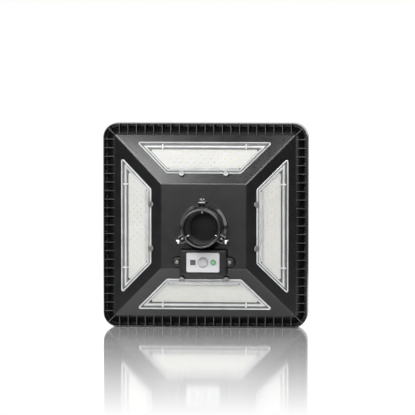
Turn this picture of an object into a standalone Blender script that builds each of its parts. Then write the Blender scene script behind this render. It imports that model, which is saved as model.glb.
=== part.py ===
"""Solar area floodlight that slips over the top of a pole.

The lamp is modelled lying on its solar panel, light side up, and the empty that carries
every part then stands it on one edge. In the lying frame X runs to the right, Y up the
face and Z out of the light side. Z is zero at the front of the rim, and X and Y are zero
at the centre. Stood up, the light side faces -Y and the solar panel faces +Y.
"""
import math

import bmesh
import bpy
from mathutils import Matrix, Vector

# Driving dimensions, in metres and degrees.
GAP = 0.0003
SIDE = 0.380
HALF = SIDE / 2
CORNER_R = 0.027
WALL = 0.0025

# Housing, from the joint with the panel frame to the flat face that holds the pole socket.
HOUSING_BACK = -0.036
BASE_HALF = 0.169
BASE_Z = 0.0015
FACE_HALF = 0.079
FACE_Z = 0.032
SHELL = 0.003
FACE_INNER_Z = FACE_Z - SHELL
SLOPE = math.atan2(FACE_Z - BASE_Z, BASE_HALF - FACE_HALF)

# Ribbed band round the rim.
RIB_PITCH = 0.016
RIB_COUNT = 21
RIB_THICK = 0.0016
SLOT_INNER = 0.183
SLOT_OUTER = HALF - WALL
SLOT_FLOOR_Z = -0.030
POCKET_TOP_Z = -0.0015
POCKET_LOW_Z = -0.012
CAVITY_HALF = 0.1805
SHOULDER_HALF = 0.1619
CAVITY_TOP_Z = -0.0132

# Posts and bosses inside the housing.
POST_ROOT_Z = 0.030
TRAY_POST_X = 0.060
TRAY_POST_Y = 0.024
BOARD_POST_X = 0.040
BOARD_POST_YS = (-0.067, -0.029)
LENS_BOSS_R = 0.0046
FACE_HOLE_LOW = 0.027
FACE_HOLE_HIGH = 0.034
SENSOR_LEAD_Y = -0.060

# Solar side.
FRAME_BACK = -0.044
FRAME_LIP = 0.013
LIP_THICK = 0.002
GLASS_HALF = 0.183
GLASS_CORNER_R = 0.020
GLASS_THICK = 0.0032
LAMINATE_HALF = 0.177
LAMINATE_THICK = 0.001
PANEL_SEAL_OUTER = 0.1830
PANEL_SEAL_INNER = 0.1808

# Lens covers: trapezoids on the four slopes. U is the distance out from the lamp's axis.
LENS_U_SHORT = 0.0972
LENS_U_LONG = 0.1546
LENS_HALF_SHORT = 0.0689
LENS_HALF_LONG = 0.1269
LENS_SHORT_R = 0.0075
LENS_LONG_R = 0.003
LENS_FLANGE = 0.0022
LENS_HEIGHT = 0.0092
LENS_BED = 0.0006
SEAL_THICK = 0.0008
BOARD_THICK = 0.0016
LENS_SCREW_X = 0.041
LENS_SCREW_HOLE_R = 0.00205
LEAD_HOLE_R = 0.0024
LEAD_X = 0.020

# Pole socket and its clamping bolts.
SOCKET_SEAT_Z = 0.040
SOCKET_FRONT_Z = 0.095
SOCKET_BORE_R = 0.0325
SOCKET_RIM_R = 0.0357
SOCKET_BASE_R = 0.0446
SEAT_HOLE_R = 0.029
SPIGOT_R = 0.0254
BOLT_Z = 0.064
BOLT_ANGLES = (90, 210, 330)
BOLT_HEAD_R = 0.0502
BOLT_TIP_R = 0.0267
BOSS_OUTER_R = 0.0483
BOSS_WIDTH = 0.0146
BOSS_TOP_Z = 0.072
NUT_FLATS = 0.010
NUT_THICK = 0.005
NUT_INNER_R = 0.0389
SOCKET_SCREW_RADIUS = 0.039
SOCKET_SCREW_ANGLES = (30, 150, 270)

# Motion sensor box.
BOX_Y = -0.0655
BOX_WIDTH = 0.087
BOX_HEIGHT = 0.047
BOX_FRONT_Z = 0.048
BOX_WALL = 0.0025
EAR_X = 0.049
EAR_R = 0.009
EAR_Z = 0.041
PLATE_WIDTH = 0.061
PLATE_HEIGHT = 0.036
WINDOW_X = -0.0186
WINDOW_SIDE = 0.0094
DOME_R = 0.0096
BUTTON_X = 0.019
BUTTON_R = 0.005
ROOM_HALF = 0.0395
ROOM_LOW_Y = -0.0775
ROOM_HIGH_Y = -0.047
SENSOR_POST_X = 0.034
SENSOR_BOARD_Z = 0.036
DOME_RISE = 0.0072
FRONT_HOLE_LOW = 0.044
FRONT_HOLE_HIGH = 0.050

# Battery and electronics.
CELL_R = 0.0161
CELL_LENGTH = 0.070
BATTERY_Y = 0.024
BATTERY_Z = -0.014
TRAY_FLOOR_Z = 0.0024
TRAY_HALF_X = 0.074
TRAY_HALF_Y = 0.035
TRAY_WALL = 0.002
CELL_X = 0.036
CELL_Y = 0.0164
STRAP_THICK = 0.0012
STRAP_HALF = 0.010
CONTROLLER_Z = 0.014
CONTROLLER_HALF = 0.045
CONTROLLER_LOW_Y = -0.072
CONTROLLER_HIGH_Y = -0.024

LAMP_Y = (SOCKET_FRONT_Z + FRAME_BACK) / 2
STEPS = 36

# Start from an empty file.
for old in list(bpy.data.objects):
    bpy.data.objects.remove(old, do_unlink=True)

PARTS = bpy.data.collections.new("solar_floodlight")
CUTTERS = bpy.data.collections.new("cutters")
bpy.context.scene.collection.children.link(PARTS)
bpy.context.scene.collection.children.link(CUTTERS)

# The empty that stands the lamp on its lower edge: its Z becomes -Y and its Y becomes +Z.
LAMP = bpy.data.objects.new("lamp_frame", None)
LAMP.rotation_euler = (math.radians(90), 0, 0)
LAMP.location = (0, LAMP_Y, HALF)
PARTS.objects.link(LAMP)

FLAT = Matrix.Identity(4)


# Materials ---------------------------------------------------------------------------

def make_material(name, colour, roughness, metallic=0.0, alpha=1.0):
    """Principled finish of one colour."""
    material = bpy.data.materials.new(name)
    material.use_nodes = True
    shader = material.node_tree.nodes["Principled BSDF"]
    shader.inputs["Base Color"].default_value = (*colour, 1)
    shader.inputs["Roughness"].default_value = roughness
    shader.inputs["Metallic"].default_value = metallic
    shader.inputs["Alpha"].default_value = alpha
    return material


BLACK = make_material("black_moulding", (0.022, 0.022, 0.024), 0.42)
FRAME_BLACK = make_material("frame_moulding", (0.03, 0.03, 0.032), 0.4)
SOCKET_BLACK = make_material("socket_casting", (0.02, 0.02, 0.022), 0.3)
GLASS = make_material("toughened_glass", (0.05, 0.055, 0.065), 0.08, alpha=0.5)
CELLS = make_material("solar_cells", (0.012, 0.014, 0.02), 0.3)
CLEAR = make_material("clear_polycarbonate", (0.85, 0.87, 0.87), 0.1, alpha=0.4)
BOARD_WHITE = make_material("white_board", (0.85, 0.85, 0.82), 0.5)
BOARD_GREEN = make_material("green_board", (0.03, 0.13, 0.06), 0.5)
STEEL = make_material("bright_steel", (0.62, 0.62, 0.6), 0.25, metallic=1.0)
RUBBER = make_material("seal_rubber", (0.03, 0.03, 0.03), 0.8)
SILVER = make_material("silver_plate", (0.6, 0.6, 0.62), 0.35)
DOME_WHITE = make_material("lens_white", (0.75, 0.75, 0.76), 0.35)
WINDOW_DARK = make_material("infrared_window", (0.05, 0.05, 0.055), 0.2)
BUTTON_GREEN = make_material("button_green", (0.2, 0.45, 0.27), 0.4)
CELL_WRAP = make_material("battery_wrap", (0.02, 0.09, 0.3), 0.4)
LEAD_WIRE = make_material("lead_insulation", (0.25, 0.02, 0.02), 0.5)


# Outlines: lists of (x, y) points, anticlockwise --------------------------------------

def arc(centre, radius, start, end, steps):
    """Points along an arc in degrees, both ends included."""
    angles = [math.radians(start + (end - start) * i / steps) for i in range(steps + 1)]
    return [(centre[0] + radius * math.cos(a), centre[1] + radius * math.sin(a)) for a in angles]


def circle(radius, steps, centre=(0, 0)):
    return arc(centre, radius, 0, 360, steps)[:-1]


def rectangle(x0, y0, x1, y1):
    return [(x0, y0), (x1, y0), (x1, y1), (x0, y1)]


def rounded(corners, radii, steps=3):
    """Polygon whose corners are replaced by arcs of the given radii."""
    points = []
    for i, corner in enumerate(corners):
        here = Vector(corner)
        before = (Vector(corners[i - 1]) - here).normalized()
        after = (Vector(corners[(i + 1) % len(corners)]) - here).normalized()
        half_angle = before.angle(after) / 2
        tangent = radii[i] / math.tan(half_angle)
        centre = here + (before + after).normalized() * radii[i] / math.sin(half_angle)
        first = here + before * tangent - centre
        last = here + after * tangent - centre
        start = math.degrees(math.atan2(first.y, first.x))
        sweep = math.degrees(math.atan2(last.y, last.x)) - start
        sweep = (sweep + 180) % 360 - 180
        points += arc(centre, radii[i], start, start + sweep, steps)
    return points


def rounded_square(half, radius, steps=6):
    return rounded(rectangle(-half, -half, half, half), [radius] * 4, steps)


def turn_outline(outline, degrees):
    """The outline turned about the lamp's axis."""
    c = math.cos(math.radians(degrees))
    s = math.sin(math.radians(degrees))
    return [(x * c - y * s, x * s + y * c) for x, y in outline]


# Objects ------------------------------------------------------------------------------

def add(piece, frame, material=None, collection=PARTS):
    """Link a piece, carry it on the lamp and place it in its frame."""
    collection.objects.link(piece)
    piece.parent = LAMP
    piece.matrix_local = frame
    if material is not None:
        piece.data.materials.append(material)
    if collection is CUTTERS:
        piece.hide_render = True
        piece.display_type = "WIRE"
    return piece


def plate(name, outlines, z0, z1, material=None, frame=FLAT, collection=PARTS):
    """Flat piece between two heights. The first outline is its edge, the rest are holes."""
    curve = bpy.data.curves.new(name, "CURVE")
    curve.dimensions = "2D"
    curve.fill_mode = "BOTH"
    curve.extrude = (z1 - z0) / 2
    for outline in outlines:
        spline = curve.splines.new("POLY")
        spline.points.add(len(outline) - 1)
        for point, (x, y) in zip(spline.points, outline):
            point.co = (x, y, 0, 1)
        spline.use_cyclic_u = True
    piece = bpy.data.objects.new(name, curve)
    return add(piece, frame @ Matrix.Translation((0, 0, (z0 + z1) / 2)), material, collection)


def to_mesh(piece, collection=None):
    """Turn a curve object into a closed mesh object in the same place."""
    bpy.context.view_layer.update()
    evaluated = piece.evaluated_get(bpy.context.evaluated_depsgraph_get())
    mesh = bpy.data.meshes.new_from_object(evaluated)
    body = bmesh.new()
    body.from_mesh(mesh)
    bmesh.ops.remove_doubles(body, verts=body.verts, dist=1e-6)
    body.to_mesh(mesh)
    body.free()
    name = piece.name
    frame = piece.matrix_local.copy()
    collection = collection or piece.users_collection[0]
    old = piece.data
    bpy.data.objects.remove(piece, do_unlink=True)
    bpy.data.curves.remove(old)
    return add(bpy.data.objects.new(name, mesh), frame, None, collection)


def solid(name, outlines, z0, z1, material=None, frame=FLAT, collection=PARTS):
    """A plate made a mesh, ready to be cut or joined."""
    return to_mesh(plate(name, outlines, z0, z1, material, frame, collection))


def turned(name, profile, steps, material=None, frame=FLAT, collection=PARTS, closed=False):
    """Turned piece. The profile of (radius, z) runs down the outer side; a ring's closes."""
    mesh = bpy.data.meshes.new(name)
    edges = [(i, i + 1) for i in range(len(profile) - 1)]
    if closed:
        edges.append((len(profile) - 1, 0))
    mesh.from_pydata([(r, 0, z) for r, z in profile], edges, [])
    piece = bpy.data.objects.new(name, mesh)
    screw = piece.modifiers.new("turn", "SCREW")
    screw.steps = steps
    screw.render_steps = steps
    screw.use_merge_vertices = True
    screw.merge_threshold = 0.00001
    screw.use_smooth_shade = steps > 8
    return add(piece, frame, material, collection)


def square_turned(name, profile, collection=CUTTERS, closed=False):
    """Four-sided turned piece with mitred corners; the profile gives half widths."""
    corner_profile = [(half * math.sqrt(2), z) for half, z in profile]
    frame = Matrix.Rotation(math.radians(45), 4, "Z")
    return turned(name, corner_profile, 4, None, frame, collection, closed)


def box(name, x0, y0, z0, x1, y1, z1, material=None, frame=FLAT, collection=PARTS):
    """Box between two corners, from a unit cube with its size in the mesh."""
    mesh = bpy.data.meshes.new(name)
    body = bmesh.new()
    bmesh.ops.create_cube(body, size=1)
    bmesh.ops.scale(body, vec=(x1 - x0, y1 - y0, z1 - z0), verts=body.verts)
    bmesh.ops.translate(body, vec=((x0 + x1) / 2, (y0 + y1) / 2, (z0 + z1) / 2), verts=body.verts)
    body.to_mesh(mesh)
    body.free()
    return add(bpy.data.objects.new(name, mesh), frame, material, collection)


def cylinder(name, radius, z0, z1, steps, material=None, frame=FLAT, collection=PARTS):
    """Round bar along the frame's Z."""
    mesh = bpy.data.meshes.new(name)
    body = bmesh.new()
    bmesh.ops.create_cone(
        body, cap_ends=True, segments=steps, radius1=radius, radius2=radius, depth=z1 - z0)
    bmesh.ops.translate(body, vec=(0, 0, (z0 + z1) / 2), verts=body.verts)
    body.to_mesh(mesh)
    body.free()
    mesh.shade_smooth()
    mesh.set_sharp_from_angle(angle=math.radians(35))
    return add(bpy.data.objects.new(name, mesh), frame, material, collection)


def gather(name, pieces):
    """One cutter made of several separate bodies."""
    bpy.context.view_layer.update()
    graph = bpy.context.evaluated_depsgraph_get()
    body = bmesh.new()
    for piece in pieces:
        mesh = bpy.data.meshes.new_from_object(piece.evaluated_get(graph))
        mesh.transform(piece.matrix_local)
        body.from_mesh(mesh)
        bpy.data.meshes.remove(mesh)
    mesh = bpy.data.meshes.new(name)
    body.to_mesh(mesh)
    body.free()
    for piece in pieces:
        bpy.data.objects.remove(piece, do_unlink=True)
    return add(bpy.data.objects.new(name, mesh), FLAT, None, CUTTERS)


def combine(target, operation, tool):
    """Join, cut or intersect the target with another object."""
    modifier = target.modifiers.new(tool.name, "BOOLEAN")
    modifier.operation = operation
    modifier.solver = "EXACT"
    modifier.object = tool


def tidy_flats(target):
    """Merge the triangles that Booleans leave on flat faces."""
    modifier = target.modifiers.new("tidy_flats", "DECIMATE")
    modifier.decimate_type = "DISSOLVE"
    modifier.angle_limit = math.radians(0.05)


def at(x, y, z=0.0):
    return Matrix.Translation((x, y, z))


def radial(angle, radius, z):
    """Frame whose Z points outward from the lamp's axis, at a radius and a height."""
    spin = Matrix.Rotation(math.radians(angle), 4, "Z")
    return spin @ at(radius, 0, z) @ Matrix.Rotation(math.radians(90), 4, "Y")


def on_circle(angle, radius, z=0.0):
    """Upright frame at a point of a circle about the lamp's axis."""
    a = math.radians(angle)
    return at(radius * math.cos(a), radius * math.sin(a), z)


# Slope frames: X along the slope, Y down it and outward, Z along its normal ------------

SLOPE_SIDES = {"top": 0, "left": 90, "bottom": 180, "right": 270}
SLOPE_MID_U = (LENS_U_SHORT + LENS_U_LONG) / 2
SLOPE_MID_Z = BASE_Z + (BASE_HALF - SLOPE_MID_U) * math.tan(SLOPE)
LENS_LENGTH = (LENS_U_LONG - LENS_U_SHORT) / math.cos(SLOPE)


def slope_frame(turn):
    """Frame at the middle of the lens bed on the slope at this turn about the axis."""
    spin = Matrix.Rotation(math.radians(turn), 4, "Z")
    return spin @ at(0, SLOPE_MID_U, SLOPE_MID_Z) @ Matrix.Rotation(-SLOPE, 4, "X")


def lens_outline(inset, short_inset=None):
    """The lens trapezoid drawn in from its edge, with its short side drawn in further."""
    short_inset = inset if short_inset is None else short_inset
    lean = (LENS_HALF_LONG - LENS_HALF_SHORT) / LENS_LENGTH
    side_inset = inset * math.sqrt(1 + lean * lean)

    def half_width(v):
        return LENS_HALF_SHORT + (v + LENS_LENGTH / 2) * lean - side_inset

    low = -LENS_LENGTH / 2 + short_inset
    high = LENS_LENGTH / 2 - inset
    corners = [
        (half_width(low), low), (half_width(high), high),
        (-half_width(high), high), (-half_width(low), low)]
    short_r = max(LENS_SHORT_R - inset, 0.002)
    long_r = max(LENS_LONG_R - inset, 0.0015)
    return rounded(corners, [short_r, long_r, long_r, short_r])


# Fasteners ----------------------------------------------------------------------------

def screw_profile(head_r, head_h, shank_r, length):
    """Pan-head screw with its head's seat at zero."""
    return [
        (0, head_h), (0.55 * head_r, 0.96 * head_h), (0.9 * head_r, 0.6 * head_h), (head_r, 0),
        (shank_r, 0), (shank_r, -length + 0.8 * shank_r), (0.3 * shank_r, -length), (0, -length)]


# Lower housing ------------------------------------------------------------------------

def rib_pocket_openings():
    """Plan of the gaps between the ribs, all four sides and the split corners."""
    outlines = []
    first = -RIB_PITCH * (RIB_COUNT - 1) / 2
    inner = BASE_HALF - 0.004
    for i in range(RIB_COUNT - 1):
        low = first + i * RIB_PITCH + RIB_THICK / 2
        high = low + RIB_PITCH - RIB_THICK
        outlines.append(rectangle(inner, low, HALF - 0.001, high))
    clear = 0.0001
    centre = HALF - CORNER_R
    radius = CORNER_R - WALL - clear
    start = -first + RIB_THICK / 2
    half_rib = RIB_THICK / math.sqrt(2)
    limit = 45 - math.degrees(math.asin(RIB_THICK / 2 / radius))
    corner = [(inner, start), (SLOT_OUTER - clear, start)]
    corner += arc((centre, centre), radius, 0, limit, 5)
    corner.append((inner + half_rib, inner))
    mirrored = [(x, -y) for x, y in reversed(corner)]
    outlines += [corner, mirrored]
    return [turn_outline(outline, turn) for turn in (0, 90, 180, 270) for outline in outlines]


def make_housing():
    """Square moulded housing: rim with ribs, sloped face, bosses, lens beds and holes."""
    housing = solid(
        "lower_housing", [rounded_square(HALF, CORNER_R)], HOUSING_BACK, 0, BLACK)
    pyramid = square_turned("sloped_face", [
        (0, FACE_Z), (FACE_HALF, FACE_Z), (BASE_HALF, BASE_Z), (BASE_HALF, -0.002), (0, -0.002)])
    combine(housing, "UNION", pyramid)

    # Hollow for the battery and electronics, open at the back.
    drop = SHELL / math.cos(SLOPE)
    shoulder_z = BASE_Z - drop + (BASE_HALF - SHOULDER_HALF) * math.tan(SLOPE)
    roof_half = BASE_HALF - (FACE_INNER_Z - BASE_Z + drop) / math.tan(SLOPE)
    hollow = square_turned("hollow", [
        (0, FACE_INNER_Z), (roof_half, FACE_INNER_Z), (SHOULDER_HALF, shoulder_z),
        (CAVITY_HALF, CAVITY_TOP_Z), (CAVITY_HALF, HOUSING_BACK - 0.001),
        (0, HOUSING_BACK - 0.001)])
    combine(housing, "DIFFERENCE", hollow)

    # Bosses for the lens screws, posts for the tray and controller, spigot for the socket.
    adds = []
    for turn in SLOPE_SIDES.values():
        for x in (-LENS_SCREW_X, LENS_SCREW_X):
            frame = slope_frame(turn) @ at(x, -LENS_LENGTH / 2)
            adds.append(cylinder("boss", LENS_BOSS_R, -0.011, 0.003, 12, None, frame, CUTTERS))
    for x in (-TRAY_POST_X, TRAY_POST_X):
        for y in (BATTERY_Y - TRAY_POST_Y, BATTERY_Y + TRAY_POST_Y):
            low = TRAY_FLOOR_Z + TRAY_WALL + GAP
            adds.append(cylinder("post", 0.004, low, POST_ROOT_Z, 8, None, at(x, y), CUTTERS))
    for x in (-BOARD_POST_X, BOARD_POST_X):
        for y in BOARD_POST_YS:
            low = CONTROLLER_Z + BOARD_THICK + GAP
            adds.append(cylinder("post", 0.003, low, POST_ROOT_Z, 8, None, at(x, y), CUTTERS))
    adds.append(cylinder("spigot", SPIGOT_R, 0.031, 0.037, STEPS, None, FLAT, CUTTERS))
    combine(housing, "UNION", gather("housing_bosses", adds))

    # Groove behind the rim wall, kept only between the ribs.
    groove_half = BASE_HALF - GAP
    groove = square_turned("rib_pockets", [
        (SLOT_OUTER, 0.003), (SLOT_OUTER, SLOT_FLOOR_Z), (SLOT_INNER, SLOT_FLOOR_Z),
        (SLOT_INNER, POCKET_LOW_Z), (groove_half, POCKET_TOP_Z), (groove_half, 0.003)],
        closed=True)
    openings = solid(
        "pocket_openings", rib_pocket_openings(), SLOT_FLOOR_Z - 0.002, 0.005, None, FLAT, CUTTERS)
    combine(groove, "INTERSECT", openings)
    combine(housing, "DIFFERENCE", groove)

    # Lens beds, lead holes and screw holes on the four slopes.
    beds = []
    holes = []
    for turn in SLOPE_SIDES.values():
        frame = slope_frame(turn)
        beds.append(solid(
            "bed", [lens_outline(-0.0004)], -LENS_BED, 0.008, None, frame, CUTTERS))
        holes.append(cylinder(
            "hole", LEAD_HOLE_R, -0.008, 0.004, 10, None, frame @ at(LEAD_X, 0), CUTTERS))
        for x in (-LENS_SCREW_X, LENS_SCREW_X):
            spot = frame @ at(x, -LENS_LENGTH / 2)
            holes.append(cylinder(
                "hole", LENS_SCREW_HOLE_R, -0.0095, 0.006, 10, None, spot, CUTTERS))
    combine(housing, "DIFFERENCE", gather("lens_beds", beds))
    face_holes = [(0.0022, 8, on_circle(a, SOCKET_SCREW_RADIUS)) for a in SOCKET_SCREW_ANGLES]
    face_holes += [(0.0016, 8, at(x, BOX_Y)) for x in (-EAR_X, EAR_X)]
    face_holes.append((0.004, 12, at(0, SENSOR_LEAD_Y)))
    for radius, steps, spot in face_holes:
        holes.append(cylinder(
            "hole", radius, FACE_HOLE_LOW, FACE_HOLE_HIGH, steps, None, spot, CUTTERS))
    combine(housing, "DIFFERENCE", gather("housing_holes", holes))
    tidy_flats(housing)


# Solar side ---------------------------------------------------------------------------

def make_solar_side():
    """Frame, toughened glass, cell laminate and the seal against the housing."""
    joint = HOUSING_BACK - GAP
    frame = solid(
        "panel_frame", [rounded_square(HALF, CORNER_R)], FRAME_BACK, joint, FRAME_BLACK)
    bevel = frame.modifiers.new("edge", "BEVEL")
    bevel.width = 0.0012
    bevel.segments = 1
    bevel.limit_method = "ANGLE"
    bevel.angle_limit = math.radians(60)
    opening_half = HALF - FRAME_LIP
    cuts = solid(
        "frame_opening", [rounded_square(opening_half, 0.001, 1)], FRAME_BACK - 0.002,
        joint + 0.002, None, FLAT, CUTTERS)
    combine(frame, "DIFFERENCE", cuts)
    rebate = solid(
        "glass_rebate", [rounded_square(GLASS_HALF + 0.0005, GLASS_CORNER_R + 0.0005)],
        FRAME_BACK + LIP_THICK, joint + 0.002, None, FLAT, CUTTERS)
    combine(frame, "DIFFERENCE", rebate)
    tidy_flats(frame)
    glass_low = FRAME_BACK + LIP_THICK + GAP
    glass_high = glass_low + GLASS_THICK
    plate("solar_glass", [rounded_square(GLASS_HALF, GLASS_CORNER_R)], glass_low, glass_high, GLASS)
    laminate_low = glass_high + GAP
    plate(
        "cell_laminate", [rounded_square(LAMINATE_HALF, 0.008, 3)], laminate_low,
        laminate_low + LAMINATE_THICK, CELLS)
    outer = rounded_square(PANEL_SEAL_OUTER, GLASS_CORNER_R - 0.0005)
    inner = rounded_square(PANEL_SEAL_INNER, GLASS_CORNER_R - 0.0025)
    plate("housing_seal", [outer, inner], glass_high + GAP, joint, RUBBER)


# Lens fields --------------------------------------------------------------------------

def make_lens_fields():
    """Clear cover, seal, LED board and two screws on each slope."""
    seat = -LENS_BED + GAP
    flange_low = seat + SEAL_THICK + GAP
    flange_high = flange_low + LENS_FLANGE
    number = 0
    for side, turn in SLOPE_SIDES.items():
        frame = slope_frame(turn)
        cover = solid(
            "lens_cover_" + side, [lens_outline(0)], flange_low, flange_high, CLEAR, frame)
        body = solid(
            "lens_body_" + side, [lens_outline(0.006)], flange_low + 0.001, LENS_HEIGHT, None,
            frame, CUTTERS)
        inside = solid(
            "lens_inside_" + side, [lens_outline(0.0078)], flange_low - 0.001,
            LENS_HEIGHT - 0.0018, None, frame, CUTTERS)
        notches = []
        for x in (-LENS_SCREW_X, LENS_SCREW_X):
            spot = frame @ at(x, -LENS_LENGTH / 2)
            notches.append(cylinder("notch", 0.0023, 0, 0.006, 10, None, spot, CUTTERS))
        combine(cover, "UNION", body)
        combine(cover, "DIFFERENCE", inside)
        combine(cover, "DIFFERENCE", gather("lens_notches_" + side, notches))
        tidy_flats(cover)
        plate(
            "lens_seal_" + side, [lens_outline(0.0024), lens_outline(0.0046)], seat,
            seat + SEAL_THICK, RUBBER, frame)
        plate(
            "led_board_" + side, [lens_outline(0.0082)], seat, seat + BOARD_THICK, BOARD_WHITE,
            frame)
        for x in (-LENS_SCREW_X, LENS_SCREW_X):
            number += 1
            spot = frame @ at(x, -LENS_LENGTH / 2, flange_high + GAP)
            turned(
                "lens_screw_%d" % number, screw_profile(0.0054, 0.0026, 0.00175, 0.0115), 10,
                STEEL, spot)


# Pole socket --------------------------------------------------------------------------

def make_socket():
    """Flared sleeve with a seat ring, three bosses with nut pockets, bolts and nuts."""
    base_z = FACE_Z + GAP
    profile = [
        (SOCKET_BORE_R + 0.0006, SOCKET_FRONT_Z), (SOCKET_RIM_R - 0.0006, SOCKET_FRONT_Z),
        (SOCKET_RIM_R, SOCKET_FRONT_Z - 0.0008), (0.0372, 0.050), (0.0385, 0.0455),
        (0.0425, 0.041), (SOCKET_BASE_R, 0.038), (SOCKET_BASE_R, base_z), (SEAT_HOLE_R, base_z),
        (SEAT_HOLE_R, SOCKET_SEAT_Z), (SOCKET_BORE_R, SOCKET_SEAT_Z),
        (SOCKET_BORE_R, SOCKET_FRONT_Z - 0.0008)]
    socket = turned("pole_socket", profile, STEPS, SOCKET_BLACK, FLAT, PARTS, closed=True)
    bosses = []
    pockets = []
    holes = []
    inner = SOCKET_BORE_R + 0.0012
    for angle in BOLT_ANGLES:
        spin = Matrix.Rotation(math.radians(angle), 4, "Z")
        half = BOSS_WIDTH / 2
        bosses.append(box(
            "boss", inner, -half, base_z, BOSS_OUTER_R, half, BOSS_TOP_Z, None, spin, CUTTERS))
        pocket_half = NUT_FLATS / 2 + GAP
        low = BOLT_Z - NUT_FLATS / math.sqrt(3) - GAP
        pockets.append(box(
            "pocket", NUT_INNER_R - GAP, -pocket_half, low, NUT_INNER_R + NUT_THICK + GAP,
            pocket_half, BOSS_TOP_Z + 0.001, None, spin, CUTTERS))
        frame = radial(angle, 0, BOLT_Z)
        holes.append(cylinder("bolt_hole", 0.0034, 0.028, 0.052, 16, None, frame, CUTTERS))
    for angle in SOCKET_SCREW_ANGLES:
        spot = on_circle(angle, SOCKET_SCREW_RADIUS)
        holes.append(cylinder("screw_hole", 0.0019, 0.030, 0.0385, 10, None, spot, CUTTERS))
    combine(socket, "UNION", gather("socket_bosses", bosses))
    combine(socket, "DIFFERENCE", gather("nut_pockets", pockets))
    combine(socket, "DIFFERENCE", gather("socket_holes", holes))
    tidy_flats(socket)

    length = BOLT_HEAD_R - BOLT_TIP_R
    bolt = [
        (0, 0.0038), (0.0042, 0.0038), (0.0052, 0.0028), (0.0052, 0), (0.003, 0),
        (0.003, -length + 0.001), (0.002, -length), (0, -length)]
    nut_r = NUT_FLATS / math.sqrt(3)
    for number, angle in enumerate(BOLT_ANGLES, 1):
        turned(
            "clamp_bolt_%d" % number, bolt, 18, STEEL, radial(angle, BOLT_HEAD_R, BOLT_Z))
        plate(
            "clamp_nut_%d" % number, [circle(nut_r, 6), circle(0.0033, 16)], 0, NUT_THICK, STEEL,
            radial(angle, NUT_INNER_R, BOLT_Z))
    flip = Matrix.Rotation(math.radians(180), 4, "X")
    for number, angle in enumerate(SOCKET_SCREW_ANGLES, 1):
        spot = on_circle(angle, SOCKET_SCREW_RADIUS, FACE_INNER_Z - GAP) @ flip
        turned(
            "socket_screw_%d" % number, screw_profile(0.0035, 0.0022, 0.0016, 0.0088), 12, STEEL,
            spot)


# Motion sensor ------------------------------------------------------------------------

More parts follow.
